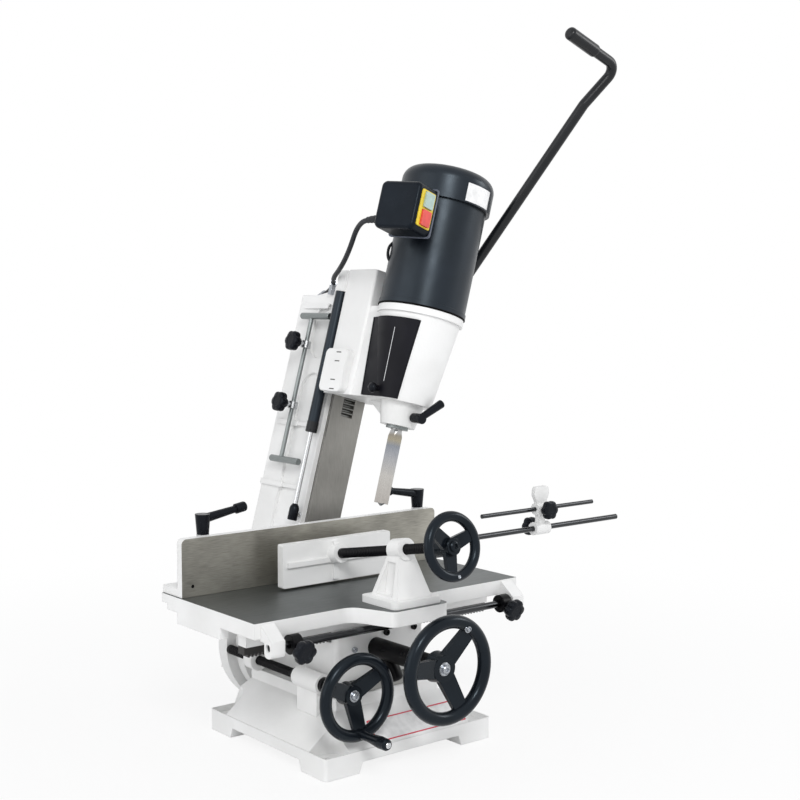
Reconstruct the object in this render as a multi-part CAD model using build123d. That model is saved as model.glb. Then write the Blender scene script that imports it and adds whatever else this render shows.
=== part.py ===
from build123d import *
import math
import os

# Hollow chisel mortiser with a tilting column. Millimetres, +Z up, operator at -Y.
# The origin is the middle of the four bench bolts, on the surface that the feet stand on.
# Column, head and motor are drawn upright about the tilt pivot and leaned over at the end.

# Fits
RUNNING = 0.05          # radial clearance of a shaft in its bore
SLIDING = 0.25          # clearance of a slide on its way
SEAT = 0.3              # gap between pieces that move past each other
BACKLASH = 0.4          # taken off each flank of a gear tooth

# Base
BASE_X = 318.0
BASE_Y = 314.0
FOOT_LENGTH = 60.0
ARCH_HEIGHT = 16.0
RIM_HEIGHT = 33.0
PEDESTAL_X = 196.0
PEDESTAL_FRONT = -100.0
PEDESTAL_BACK = 130.0
SLOPE_TOP = 78.0
BASE_TOP = 96.0
BOLT_X = 272.0
BOLT_Y = 268.0
BOLT_HOLE_R = 5.5
BOLT_SEAT_R = 21.0
BOLT_SEAT_Z = 24.0
CAVITY = 190.0
CAVITY_HEIGHT = 46.0

# Cross slide way on the base
RAIL_HALF = 50.0
RAIL_FLARE = 8.0
RAIL_HEIGHT = 16.0
RAIL_FRONT = -98.0
RAIL_BACK = 128.0
GIB = 4.0

# Tilt joint
TILT = 15.4
PIVOT_Z = 118.0
TRUNNION_R = 96.0
TRUNNION_FRONT = 160.0
TRUNNION_FACE = 186.0
TRUNNION_NECK_X = 124.0
TRUNNION_SEAT_R = 91.0
TRUNNION_SEAT_Y = 6.0
FLANGE_R = 109.5
FLANGE_THICK = 25.0
PIVOT_PIN_R = 15.0
TILT_BOLT_R = 6.0
TILT_BOLT_PCR = 79.0
TILT_HEAD_R = 9.0
TILT_HEAD_Y = 12.0
TILT_LIMIT = 35.0

# Cross feed screw and its small handwheel
CROSS_X = -106.0
CROSS_Z = 115.0
CROSS_SCREW_R = 7.5
CROSS_SCREW_BACK = 182.0
CROSS_BEARING_FRONT = -79.0
CROSS_BEARING_BACK = -15.0
CROSS_BOSS_R = 15.0
CROSS_NUT_FRONT = 94.0
CROSS_NUT_BACK = 116.0
CROSS_WHEEL_Y = -162.0
CROSS_WHEEL_D = 130.0
CROSS_HUB_BACK = -30.0
CROSS_HUB_FRONT = -7.0
CROSS_HUB_R = 17.0
CROSS_RIM_R = 9.0
CROSS_SPOKE_ANGLE = 35.0
WHEEL_DISH = 14.0
HANDLE_R = 9.0
HANDLE_LENGTH = 58.0
HANDLE_PIN_R = 4.0
HANDLE_ANGLE = -88.0

# Saddle
SADDLE_X = 170.0
SADDLE_FRONT = -82.0
SADDLE_BACK = 118.0
SADDLE_TOP = 190.7
RIDGE_Y = 5.0
RIDGE_HALF = 40.0
RIDGE_FLARE = 7.5
RIDGE_HEIGHT = 16.0

# Table, with the lobe that carries the vise
TABLE_X = 500.0
TABLE_CENTRE_X = -6.0
TABLE_FRONT = -125.0
TABLE_BACK = 134.0
TABLE_TOP = 238.0
TABLE_EDGE = 23.0
LOBE_X = 104.0
LOBE_FRONT = -193.0
LOBE_FILLET = 26.0
WAY_FRONT = -75.0
WAY_BACK = 85.0
WAY_LENGTH = 290.0
APRON_FRONT = -35.0
APRON_BACK = 88.0
APRON_DROP = 17.0
APRON_THICK = 14.0
LIP_DEPTH = 16.0
LIP_THICK = 14.0

# Table feed: rack, pinion, sleeve and large handwheel
PINION_X = -10.0
PINION_Z = 157.0
PINION_TEETH = 20
PINION_MODULE = 2.0
RACK_FRONT = -70.0
RACK_WIDTH = 16.0
RACK_INSET = 18.0
FEED_SHAFT_R = 10.0
SLEEVE_R = 15.0
SLEEVE_FRONT = -222.0
TABLE_WHEEL_Y = -250.0
TABLE_WHEEL_D = 160.0
TABLE_HUB_FRONT = -7.0
TABLE_HUB_R = 23.0
TABLE_RIM_R = 10.0
TABLE_SPOKE_ANGLE = 52.0

# Table stop rod and its two collars
STOP_ROD_Y = -143.0
STOP_ROD_Z = 205.5
STOP_ROD_R = 5.5
STOP_LUG_X = 23.0
STOP_LUG_Y = 18.0
STOP_LUG_LOW = 191.0
STOP_LUG_INSET = 10.0
STOP_KNOB_DIP = 14.0
STOP_COLLAR_R = 14.0
STOP_COLLAR_X = 16.0
STOP_COLLAR_LEFT_IN = 53.0
STOP_COLLAR_RIGHT_IN = 47.0

# Fence
FENCE_SETBACK = 2.0
FENCE_FRONT = 76.0
FENCE_THICK = 14.0
FENCE_HEIGHT = 89.0
FENCE_FOOT = 12.0
FENCE_CORNER = 8.0
CLAMP_Y = 112.0
CLAMP_LEFT_IN = 60.0
CLAMP_RIGHT_IN = 11.0
CLAMP_STUD_R = 5.0
CLAMP_SPACER_R = 10.0
CLAMP_HUB_Z = 325.0
CLAMP_HUB_HEIGHT = 31.0
CLAMP_ARM = 78.0

# Work stop
WORK_ROD_Y = 83.0
WORK_ROD_Z = 262.0
WORK_ROD_R = 5.0
WORK_ROD_OUT = 470.0
WORK_ROD_SET = 14.0
UPPER_ROD_Z = 298.0
UPPER_ROD_R = 4.0
UPPER_ROD_LEFT_OUT = 146.0
UPPER_ROD_RIGHT_OUT = 139.0
STOP_BRACKET_OUT = 263.0

# Vise
VISE_X = -10.0
VISE_PITCH = 10.5
VISE_PLATE_FRONT = 22.0
VISE_PLATE_THICK = 14.0
VISE_PLATE_LEFT = -109.0
VISE_PLATE_RIGHT = 101.0
VISE_PLATE_Z = 68.0
VISE_PLATE_LIFT = 3.5
VISE_AXIS_Z = 285.0
VISE_SCREW_R = 8.0
VISE_PIN_R = 6.0
VISE_SOCKET_R = 15.0
VISE_SOCKET_OUT = 18.0
VISE_BOSS_R = 17.0
VISE_BOSS_NEAR = 154.0
VISE_BOSS_FAR = 182.0
VISE_WHEEL_AT = 285.0
VISE_WHEEL_D = 101.0
VISE_RIM_R = 7.5
VISE_HUB_R = 15.0
VISE_HUB_BACK = -40.0
VISE_HUB_FRONT = 3.0
VISE_SPOKE_ANGLE = 20.0
VISE_DISH = 6.0
VISE_FOOT_X = 66.0
VISE_FOOT_Y = 62.0
VISE_HOLLOW_X = 16.0
VISE_FLANGE_X = 92.0
VISE_FLANGE_Y = 84.0
VISE_FLANGE_Z = 10.0
VISE_FLANGE_FRONT = -186.0

# Column, in the upright frame of the pivot
COLUMN_HALF = 33.0
COLUMN_FRONT = 160.0
COLUMN_BACK = 305.0
COLUMN_FOOT = 128.0
COLUMN_TOP_BACK = 586.0
COLUMN_TOP_FRONT = 604.0
COLUMN_TAIL = -78.0
COLUMN_POCKET = 5.0
POCKET_R = 30.0
POCKET_FRONT = 24.0
POCKET_MARGIN = 16.0
POCKET_UPPER = 96.0
POCKET_LAND = 26.0
POCKET_RIB_LOW = 250.0
POCKET_RIB_HIGH = 358.0
POCKET_RIB = 7.0
POCKET_CORNER = 10.0
WAY_FACE = 141.0
WAY_LAND = 3.0
WAY_UNDERCUT = 8.0
WAY_DEPTH = 16.0
DROP_RACK_BELOW = 101.0
DROP_RACK_ABOVE = 29.0
DROP_RACK_X = 24.0
DROP_RACK_Y = 15.0

# Depth stop on the left of the column
DEPTH_ROD_X = -46.0
DEPTH_ROD_Y = 237.0
DEPTH_ROD_R = 3.7
DEPTH_BAR_R = 5.7
DEPTH_BAR_FRONT = 184.0
DEPTH_BAR_BACK = 265.0
DEPTH_BAR_DROP = 41.0
DEPTH_BAR_SPAN = 253.0
DEPTH_COLLAR_R = 8.5
DEPTH_COLLAR_Z = 12.0
DEPTH_COLLAR_DROP = 51.0
DEPTH_COLLAR_RISE = 95.0
DEPTH_KNOB_NECK = 13.0

# Gas strut
STRUT_X = -46.0
STRUT_Y = 167.0
STRUT_R = 9.5
STRUT_ROD_R = 4.0
STRUT_PISTON_R = 6.5
STRUT_EYE_R = 7.0
STRUT_EYE_Z = 22.0
STRUT_EAR = 38.0
STRUT_LOW = 345.0
STRUT_FOOT = 196.0

# Head
SLIDE_HALF = 48.0
SLIDE_FRONT = 80.0
SLIDE_LENGTH = 212.0
SPINDLE_Y = 2.0
BODY_TOP_R = 66.0
BODY_LOW_R = 47.0
BODY_BACK_HALF = 44.0
FACE_R = 70.0
FACE_Z = 565.0
HEAD_HEIGHT = 151.0
FACE_THICK = 12.0
CHAMBER_R = 37.0
CHAMBER_FLOOR = 10.0
CHAMBER_ROOF = 17.0
NOSE_LENGTH = 37.0
NOSE_TOP_R = 36.0
NOSE_LOW_R = 28.0
LUG_OUT = 62.0
LUG_FRONT = 92.0
LUG_BACK = 146.0
LUG_HEIGHT = 72.0
DOOR_FRONT_TOP = -50.0
DOOR_FRONT_LOW = -29.0
DOOR_BACK = 47.0
DOOR_LOW_GAP = 2.0
DOOR_TOP_GAP = 10.0
DOOR_THICK = 3.0
HINGE_R = 2.0
GUSSET_X = 12.0
GUSSET_RISE = 7.0

# Down feed pinion and lever
DROP_RISE = 69.0
DROP_TEETH = 36
DROP_MODULE = 2.5
DROP_SHAFT_R = 10.0
DROP_HUB_R = 20.0
DROP_HUB_OUT = 78.0
LEVER_R = 8.5
LEVER_LEAN = 27.7
LEVER_SPLAY = 6.0
LEVER_REACH = 527.0
LEVER_KICK = 77.0
LEVER_KICK_OUT = 14.0
LEVER_BEND_R = 18.0
GRIP_LENGTH = 121.0
GRIP_R = 10.5

# Motor and spindle
MOTOR_R = 70.0
MOTOR_LENGTH = 180.0
COWL_R = 76.0
COWL_HEIGHT = 53.0
STATOR_R = 47.0
ROTOR_R = 46.0
SHAFT_R = 9.0
CHUCK_R = 20.0
CHUCK_LENGTH = 66.0
CHUCK_GAP = 16.0

# Chisel and auger
BUSH_R = 14.0
CHISEL = 16.0
CHISEL_LENGTH = 126.0
CHISEL_TAPER = 15.0
CHISEL_SHANK_R = 9.5
AUGER_R = 5.5
AUGER_PROUD = 4.0
NOSE_LEVER_R = 8.5
NOSE_LEVER_OUT = 16.5
NOSE_LEVER_ARM = 48.0
NOSE_LEVER_ANGLE = 44.0

# Switch box on the motor
BOX_TURN = 15.0
BOX_REACH = 150.0
BOX_OFFSET = 20.0
BOX_WIDTH = 76.0
BOX_HEIGHT = 76.0
BOX_DEPTH = 52.0
BOX_DROP = 44.0
BUTTON_WIDTH = 22.0
BUTTON_HEIGHT = 24.0
BUTTON_PROUD = 5.0
GLAND_INSET = 18.0
GLAND_DROP = 16.0
GLAND_LENGTH = 14.0

# Cord from the switch box to the top of the column
CORD_R = 4.2

# Places that follow from the sizes above
TABLE_LEFT = TABLE_CENTRE_X - TABLE_X / 2
TABLE_RIGHT = TABLE_CENTRE_X + TABLE_X / 2
STOP_COLLAR_LEFT = TABLE_LEFT + STOP_COLLAR_LEFT_IN
STOP_COLLAR_RIGHT = TABLE_RIGHT - STOP_COLLAR_RIGHT_IN
FENCE_LEFT = TABLE_LEFT + FENCE_SETBACK
FENCE_RIGHT = TABLE_RIGHT - FENCE_SETBACK
CLAMP_LEFT_X = TABLE_LEFT + CLAMP_LEFT_IN
CLAMP_RIGHT_X = TABLE_RIGHT - CLAMP_RIGHT_IN
WORK_ROD_END = FENCE_RIGHT + WORK_ROD_OUT
STOP_BRACKET_X = FENCE_RIGHT + STOP_BRACKET_OUT
UPPER_ROD_LEFT = STOP_BRACKET_X - UPPER_ROD_LEFT_OUT
UPPER_ROD_RIGHT = STOP_BRACKET_X + UPPER_ROD_RIGHT_OUT
SLIDE_LOW = FACE_Z - HEAD_HEIGHT
SLIDE_TOP = SLIDE_LOW + SLIDE_LENGTH
NOSE_LOW = SLIDE_LOW - NOSE_LENGTH
CHAMBER_LOW = SLIDE_LOW + CHAMBER_FLOOR
DOOR_LOW = SLIDE_LOW + DOOR_LOW_GAP
GUSSET_LOW = NOSE_LOW + GUSSET_RISE
DROP_Z = SLIDE_LOW + DROP_RISE
DROP_RACK_LOW = DROP_Z - DROP_RACK_BELOW
DROP_RACK_HIGH = DROP_Z + DROP_RACK_ABOVE
STRUT_TOP = SLIDE_TOP - STRUT_EAR
CHISEL_TIP = NOSE_LOW - CHISEL_LENGTH
AUGER_TIP = CHISEL_TIP - AUGER_PROUD
DEPTH_BAR_HIGH = COLUMN_TOP_BACK - DEPTH_BAR_DROP
DEPTH_BAR_LOW = DEPTH_BAR_HIGH - DEPTH_BAR_SPAN
CHAMBER_TOP = FACE_Z - CHAMBER_ROOF
CHUCK_TOP = CHAMBER_TOP - CHUCK_GAP
CHUCK_LOW = CHUCK_TOP - CHUCK_LENGTH
BODY_TOP = FACE_Z - FACE_THICK
MOTOR_SEAM = FACE_Z + MOTOR_LENGTH
COWL_TOP = MOTOR_SEAM + COWL_HEIGHT
BOX_Z = MOTOR_SEAM - BOX_DROP


# Plain shapes between given limits
def block(x0, x1, y0, y1, z0, z1):
    middle = Pos((x0 + x1) / 2, (y0 + y1) / 2, (z0 + z1) / 2)
    return middle * Box(abs(x1 - x0), abs(y1 - y0), abs(z1 - z0))


def rod_x(r, x0, x1, y, z):
    return Pos((x0 + x1) / 2, y, z) * Rot(0, 90, 0) * Cylinder(r, x1 - x0)


def rod_y(r, y0, y1, x, z):
    return Pos(x, (y0 + y1) / 2, z) * Rot(90, 0, 0) * Cylinder(r, y1 - y0)


def rod_z(r, z0, z1, x, y):
    return Pos(x, y, (z0 + z1) / 2) * Cylinder(r, z1 - z0)


def cone_z(r0, r1, z0, z1, x, y):
    return Pos(x, y, (z0 + z1) / 2) * Cone(r0, r1, z1 - z0)


def prism(plane, points, start, end):
    """A closed outline drawn on a base plane and carried along the plane's normal axis."""
    normal = plane.z_dir if plane.z_dir.Y == 0 else -plane.z_dir
    outline = plane * make_face(Polyline(*points, close=True))
    return extrude(Pos(normal * start) * outline, amount=end - start, dir=normal)


def prism_x(points, x0, x1):
    return prism(Plane.YZ, points, x0, x1)


def prism_y(points, y0, y1):
    return prism(Plane.XZ, points, y0, y1)


def prism_z(points, z0, z1):
    return prism(Plane.XY, points, z0, z1)


def round_edges(shape, axis, radius):
    """Round the straight edges that run along one axis."""
    return fillet(shape.edges().filter_by(axis), radius)


lean = Pos(0, 0, PIVOT_Z) * Rot(0, TILT, 0)
nodes = {}


# Gear teeth with straight flanks
def gear(module, teeth, width):
    """Spur gear about local Z: a root disc with one straight-flanked tooth repeated round it."""
    pitch_r = module * teeth / 2
    root_r = pitch_r - 1.25 * module
    tip_r = pitch_r + module
    half_pitch = math.pi * module / 4
    flank = 0.36
    tip_half = half_pitch - module * flank - BACKLASH
    root_half = half_pitch + 1.25 * module * flank - BACKLASH
    inside = root_r * 0.97
    tooth = make_face(Polyline(
        (inside, -root_half), (tip_r, -tip_half), (tip_r, tip_half), (inside, root_half), close=True))
    sketch = Circle(root_r) + [Rot(0, 0, 360 / teeth * (i + 0.5)) * tooth for i in range(teeth)]
    return Pos(0, 0, -width / 2) * extrude(sketch, amount=width, dir=(0, 0, 1))


def rack_outline(module, start, end, back, phase):
    """Side outline of a rack along its first axis; teeth point to lower values of the second."""
    pitch = math.pi * module
    flank = 0.36
    tip_half = pitch / 4 - module * flank
    root_half = pitch / 4 + 1.25 * module * flank
    points = [(start, back), (start, 1.25 * module)]
    first = math.ceil((start + root_half - phase) / pitch)
    last = math.floor((end - root_half - phase) / pitch)
    for i in range(first, last + 1):
        middle = phase + i * pitch
        points += [(middle - root_half, 1.25 * module), (middle - tip_half, -module)]
        points += [(middle + tip_half, -module), (middle + root_half, 1.25 * module)]
    points += [(end, 1.25 * module), (end, back)]
    return points


# Handwheel with three spokes that are dished back to the hub
def handwheel(diameter, rim_r, hub_r, hub_back, hub_front, bore_r, turn, dish):
    """Round rim in the plane local Z = 0, hub and tapering spokes; local Z points at the operator."""
    rim_middle = diameter / 2 - rim_r
    wheel = Torus(rim_middle, rim_r)
    hub = cone_z(hub_r, hub_r * 0.86, hub_back, hub_front, 0, 0)
    root = Plane(origin=(hub_r * 0.5, 0, -dish), x_dir=(0, 1, 0), z_dir=(1, 0, 0))
    tip = Plane(origin=(rim_middle, 0, 0), x_dir=(0, 1, 0), z_dir=(1, 0, 0))
    spoke = loft([root * Rectangle(rim_r * 2.8, rim_r), tip * Rectangle(rim_r * 2.2, rim_r * 0.8)])
    for i in range(3):
        wheel += Rot(0, 0, turn + 120 * i) * spoke
    wheel += hub
    return wheel - rod_z(bore_r, hub_back - 1, hub_front + 1, 0, 0)


def facing_operator(x, y, z):
    """Place a shape about local Z so that its axis points to -Y and local Y points up."""
    return Plane(origin=(x, y, z), x_dir=(1, 0, 0), z_dir=(0, -1, 0)).location


# Star knob on a threaded stud
KNOB_R = 17.0
KNOB_LOBE_R = 6.0
KNOB_LOBES = 6
KNOB_THICK = 13.0
KNOB_NECK = 7.0
STUD_R = 4.0


def star_knob(stud, neck_length=KNOB_NECK):
    """Six-lobed knob about local Z; the stud runs to local Z = -stud, the neck starts at 0."""
    ring = KNOB_R - KNOB_LOBE_R
    star = Circle(ring + 1.5) + PolarLocations(ring, KNOB_LOBES) * Circle(KNOB_LOBE_R)
    head = Pos(0, 0, neck_length) * extrude(star, amount=KNOB_THICK, dir=(0, 0, 1))
    collar = rod_z(STUD_R, -stud, neck_length - KNOB_NECK + 1, 0, 0)
    neck = cone_z(KNOB_R * 0.45, KNOB_R * 0.62, neck_length - KNOB_NECK, neck_length, 0, 0)
    return head + neck + collar


# Base casting: plinth on four feet, sloping shoulders, pedestal with a dovetail way, trunnion
def make_base():
    half_x = BASE_X / 2
    half_y = BASE_Y / 2
    plinth = round_edges(block(-half_x, half_x, -half_y, half_y, 0, RIM_HEIGHT), Axis.Z, 6)
    low = Pos(0, 0, RIM_HEIGHT) * Rectangle(BASE_X - 4, BASE_Y - 4)
    pedestal_y = PEDESTAL_BACK - PEDESTAL_FRONT
    pedestal_middle = (PEDESTAL_BACK + PEDESTAL_FRONT) / 2
    high = Pos(0, pedestal_middle, SLOPE_TOP) * Rectangle(PEDESTAL_X, pedestal_y)
    shoulders = loft([low, high])
    pedestal = block(-PEDESTAL_X / 2, PEDESTAL_X / 2, PEDESTAL_FRONT, PEDESTAL_BACK, SLOPE_TOP, BASE_TOP)
    body = plinth + shoulders + pedestal
    for sx in (-1, 1):
        for sy in (-1, 1):
            x = sx * BOLT_X / 2
            y = sy * BOLT_Y / 2
            body -= rod_z(BOLT_SEAT_R, BOLT_SEAT_Z, BASE_TOP, x, y)
            body -= block(x, x + sx * BOLT_SEAT_R, y - BOLT_SEAT_R, y + BOLT_SEAT_R, BOLT_SEAT_Z, BASE_TOP)
            body -= block(x - BOLT_SEAT_R, x + BOLT_SEAT_R, y, y + sy * BOLT_SEAT_R, BOLT_SEAT_Z, BASE_TOP)
            body -= rod_z(BOLT_HOLE_R, -1, BASE_TOP, x, y)
    arch_x = half_x - FOOT_LENGTH
    arch_y = half_y - FOOT_LENGTH
    slant = ARCH_HEIGHT * 0.4
    arch = [(-1, -arch_x), (ARCH_HEIGHT, -arch_x + slant), (ARCH_HEIGHT, arch_x - slant), (-1, arch_x)]
    body -= prism_y([(b, a) for a, b in arch], -half_y - 1, half_y + 1)
    side = [(-1, -arch_y), (ARCH_HEIGHT, -arch_y + slant), (ARCH_HEIGHT, arch_y - slant), (-1, arch_y)]
    body -= prism_x([(b, a) for a, b in side], -half_x - 1, half_x + 1)
    body -= block(-CAVITY / 2, CAVITY / 2, -CAVITY / 2, CAVITY / 2, -1, CAVITY_HEIGHT)
    top = BASE_TOP + RAIL_HEIGHT
    wide = RAIL_HALF + RAIL_FLARE
    rail = [(-RAIL_HALF, BASE_TOP - 1), (RAIL_HALF, BASE_TOP - 1), (RAIL_HALF, BASE_TOP), (wide, top),
            (-wide, top), (-RAIL_HALF, BASE_TOP)]
    body += prism_y(rail, RAIL_FRONT, RAIL_BACK)
    neck = block(-TRUNNION_NECK_X / 2, TRUNNION_NECK_X / 2, PEDESTAL_BACK - 2, TRUNNION_FRONT + 1,
                 RIM_HEIGHT, PIVOT_Z + TRUNNION_R * 0.45)
    disc = rod_y(TRUNNION_R, TRUNNION_FRONT, TRUNNION_FACE - TRUNNION_SEAT_Y, 0, PIVOT_Z)
    disc += rod_y(TRUNNION_SEAT_R, TRUNNION_FRONT, TRUNNION_FACE - SEAT, 0, PIVOT_Z)
    body += neck + disc
    body -= rod_y(PIVOT_PIN_R, PEDESTAL_BACK, TRUNNION_FACE, 0, PIVOT_Z)
    for sx in (-1, 1):
        body -= rod_y(TILT_BOLT_R, TRUNNION_FRONT - 1, TRUNNION_FACE, sx * TILT_BOLT_PCR, PIVOT_Z)
    web_x = CROSS_BOSS_R * 0.55
    boss = rod_y(CROSS_BOSS_R, CROSS_BEARING_FRONT, CROSS_BEARING_BACK, CROSS_X, CROSS_Z)
    return body, boss, web_x


base_casting, cross_boss, web_half = make_base()
nodes["base_casting"] = base_casting

# Bearing bracket of the cross screw, bolted on the left shoulder of the base
bracket_foot = block(CROSS_X - web_half, CROSS_X + web_half, CROSS_BEARING_FRONT + 6,
                     CROSS_BEARING_BACK - 6, SLOPE_TOP - 36, CROSS_Z)
cross_bracket = cross_boss + bracket_foot - base_casting
cross_bracket -= rod_y(CROSS_SCREW_R + RUNNING, CROSS_BEARING_FRONT - 1, CROSS_BEARING_BACK + 1,
                       CROSS_X, CROSS_Z)
nodes["cross_screw_bracket"] = cross_bracket

# Pivot pin and the two clamping bolts of the tilt joint
flange_back = TRUNNION_FACE + FLANGE_THICK
pin_head = rod_y(PIVOT_PIN_R * 1.5, flange_back + SEAT, flange_back + 8, 0, PIVOT_Z)
nodes["tilt_pivot_pin"] = rod_y(PIVOT_PIN_R, PEDESTAL_BACK, flange_back + 8, 0, PIVOT_Z) + pin_head
tilt_bolts = []
for side in (-1, 1):
    place = Pos(side * TILT_BOLT_PCR, 0, PIVOT_Z) * Rot(-90, 0, 0)
    nut = extrude(RegularPolygon(TILT_BOLT_R * 1.7, 6), amount=10)
    washer = rod_z(TILT_BOLT_R * 2.2, flange_back + SEAT, flange_back + 3, 0, 0)
    bolt = rod_z(TILT_BOLT_R, TRUNNION_FRONT - 1, flange_back + 18, 0, 0)
    bolt += rod_z(TILT_HEAD_R, TRUNNION_FRONT - TILT_HEAD_Y, TRUNNION_FRONT, 0, 0)
    tilt_bolts.append(place * (bolt + washer + Pos(0, 0, flange_back + 3) * nut))
nodes["tilt_clamp_bolts"] = Compound(tilt_bolts)

# Cross feed screw with thrust collars, and its handwheel
screw = rod_y(CROSS_SCREW_R, CROSS_WHEEL_Y - CROSS_HUB_FRONT, CROSS_SCREW_BACK, CROSS_X, CROSS_Z)
screw += rod_y(CROSS_SCREW_R + 4, CROSS_BEARING_FRONT - 8, CROSS_BEARING_FRONT - SEAT, CROSS_X, CROSS_Z)
screw += rod_y(CROSS_SCREW_R + 4, CROSS_BEARING_BACK + SEAT, CROSS_BEARING_BACK + 7, CROSS_X, CROSS_Z)
nodes["cross_screw"] = screw
handle_ring = CROSS_WHEEL_D / 2 - CROSS_RIM_R - 3
handle_x = handle_ring * math.cos(math.radians(HANDLE_ANGLE))
handle_z = handle_ring * math.sin(math.radians(HANDLE_ANGLE))
wheel = handwheel(CROSS_WHEEL_D, CROSS_RIM_R, CROSS_HUB_R, CROSS_HUB_BACK, CROSS_HUB_FRONT, CROSS_SCREW_R,
                  CROSS_SPOKE_ANGLE, WHEEL_DISH)
handle_start = CROSS_RIM_R + 2
wheel += rod_z(HANDLE_R * 0.8, -3, handle_start - SEAT, handle_x, handle_z)
wheel += rod_z(HANDLE_PIN_R, 0, handle_start + HANDLE_LENGTH - 2, handle_x, handle_z)
cross_wheel_place = facing_operator(CROSS_X, CROSS_WHEEL_Y, CROSS_Z)
nodes["cross_wheel"] = cross_wheel_place * wheel
grip_end = handle_start + HANDLE_LENGTH
handle_side = Polyline((HANDLE_PIN_R + RUNNING, handle_start), (HANDLE_R * 0.75, handle_start),
                       (HANDLE_R * 0.7, handle_start + HANDLE_LENGTH * 0.25),
                       (HANDLE_R, handle_start + HANDLE_LENGTH * 0.7),
                       (HANDLE_R * 0.95, grip_end - 3), (HANDLE_R * 0.7, grip_end),
                       (HANDLE_PIN_R + RUNNING, grip_end), close=True)
handle = revolve(Plane.XZ * make_face(handle_side), Axis.Z)
nodes["cross_wheel_handle"] = cross_wheel_place * Pos(handle_x, handle_z, 0) * handle


# Saddle: dovetail groove below along Y, dovetail ridge above along X, nut boss on its left
def make_saddle():
    half = SADDLE_X / 2
    body = block(-half, half, SADDLE_FRONT, SADDLE_BACK, BASE_TOP + SEAT, SADDLE_TOP)
    body = round_edges(body, Axis.Z, 8)
    mouth = BASE_TOP + SEAT - 1
    roof = BASE_TOP + RAIL_HEIGHT + SEAT
    right = RAIL_HALF + SLIDING
    left = right + GIB + SLIDING
    groove = [(-left, mouth), (right, mouth), (right, BASE_TOP), (right + RAIL_FLARE, roof),
              (-left - RAIL_FLARE, roof), (-left, BASE_TOP)]
    body -= prism_y(groove, SADDLE_FRONT - 1, SADDLE_BACK + 1)
    high = SADDLE_TOP + RIDGE_HEIGHT
    near = RIDGE_Y - RIDGE_HALF
    far = RIDGE_Y + RIDGE_HALF
    ridge = [(near, SADDLE_TOP - 1), (far, SADDLE_TOP - 1), (far, SADDLE_TOP), (far + RIDGE_FLARE, high),
             (near - RIDGE_FLARE, high), (near, SADDLE_TOP)]
    body += prism_x(ridge, -half, half)
    rack_back = RACK_FRONT + RACK_WIDTH
    pinion_tip = PINION_MODULE * (PINION_TEETH / 2 + 1)
    rack_tip = PINION_Z + PINION_MODULE * (PINION_TEETH / 2 - 1)
    body -= block(-half - 1, half + 1, RACK_FRONT - SEAT, rack_back + SEAT, rack_tip - 2, SADDLE_TOP + 1)
    body -= rod_y(pinion_tip + 1.5, RACK_FRONT - SEAT, rack_back + SEAT, PINION_X, PINION_Z)
    body -= rod_y(FEED_SHAFT_R + RUNNING, SADDLE_FRONT - 1, rack_back + 22, PINION_X, PINION_Z)
    nut_r = CROSS_SCREW_R + 9
    arm = block(CROSS_X, -half + 1, CROSS_NUT_FRONT + 3, CROSS_NUT_BACK - 3,
                CROSS_Z - nut_r + 3, CROSS_Z + nut_r + 6)
    body += arm + rod_y(nut_r, CROSS_NUT_FRONT, CROSS_NUT_BACK, CROSS_X, CROSS_Z)
    return body - rod_y(CROSS_SCREW_R + RUNNING, CROSS_NUT_FRONT - 1, CROSS_NUT_BACK + 1, CROSS_X, CROSS_Z)


nodes["saddle"] = make_saddle()

# Taper strips that take up the play of both dovetails
base_side = -RAIL_HALF - SLIDING
gib_low = [(base_side, BASE_TOP + SEAT), (base_side - RAIL_FLARE, BASE_TOP + RAIL_HEIGHT),
           (base_side - RAIL_FLARE - GIB, BASE_TOP + RAIL_HEIGHT), (base_side - GIB, BASE_TOP + SEAT)]
ridge_side = RIDGE_Y - RIDGE_HALF - SLIDING
ridge_high = SADDLE_TOP + RIDGE_HEIGHT
gib_high = [(ridge_side, SADDLE_TOP + SEAT), (ridge_side - RIDGE_FLARE, ridge_high),
            (ridge_side - RIDGE_FLARE - GIB, ridge_high), (ridge_side - GIB, SADDLE_TOP + SEAT)]
gib_cross = prism_y(gib_low, SADDLE_FRONT + 2, SADDLE_BACK - 2)
gib_along = prism_x(gib_high, -SADDLE_X / 2 + 2, SADDLE_X / 2 - 2)
nodes["saddle_gibs"] = Compound([gib_cross, gib_along])

# Sleeve of the table feed shaft, pinion shaft and large handwheel
sleeve = rod_y(SLEEVE_R, SLEEVE_FRONT, SADDLE_FRONT, PINION_X, PINION_Z)
sleeve -= rod_y(FEED_SHAFT_R + RUNNING, SLEEVE_FRONT - 1, SADDLE_FRONT + 1, PINION_X, PINION_Z)
nodes["pinion_sleeve"] = sleeve
pinion_y = RACK_FRONT + RACK_WIDTH / 2
pinion = facing_operator(PINION_X, pinion_y, PINION_Z) * gear(PINION_MODULE, PINION_TEETH, RACK_WIDTH)
shaft_back = RACK_FRONT + RACK_WIDTH + 20
shaft = rod_y(FEED_SHAFT_R, TABLE_WHEEL_Y - TABLE_HUB_FRONT, shaft_back, PINION_X, PINION_Z)
nodes["table_pinion_shaft"] = shaft + pinion
hub_back = TABLE_WHEEL_Y - SLEEVE_FRONT + SEAT
large = handwheel(TABLE_WHEEL_D, TABLE_RIM_R, TABLE_HUB_R, hub_back, TABLE_HUB_FRONT, FEED_SHAFT_R,
                  TABLE_SPOKE_ANGLE, WHEEL_DISH)
nodes["table_wheel"] = facing_operator(PINION_X, TABLE_WHEEL_Y, PINION_Z) * large


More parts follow.
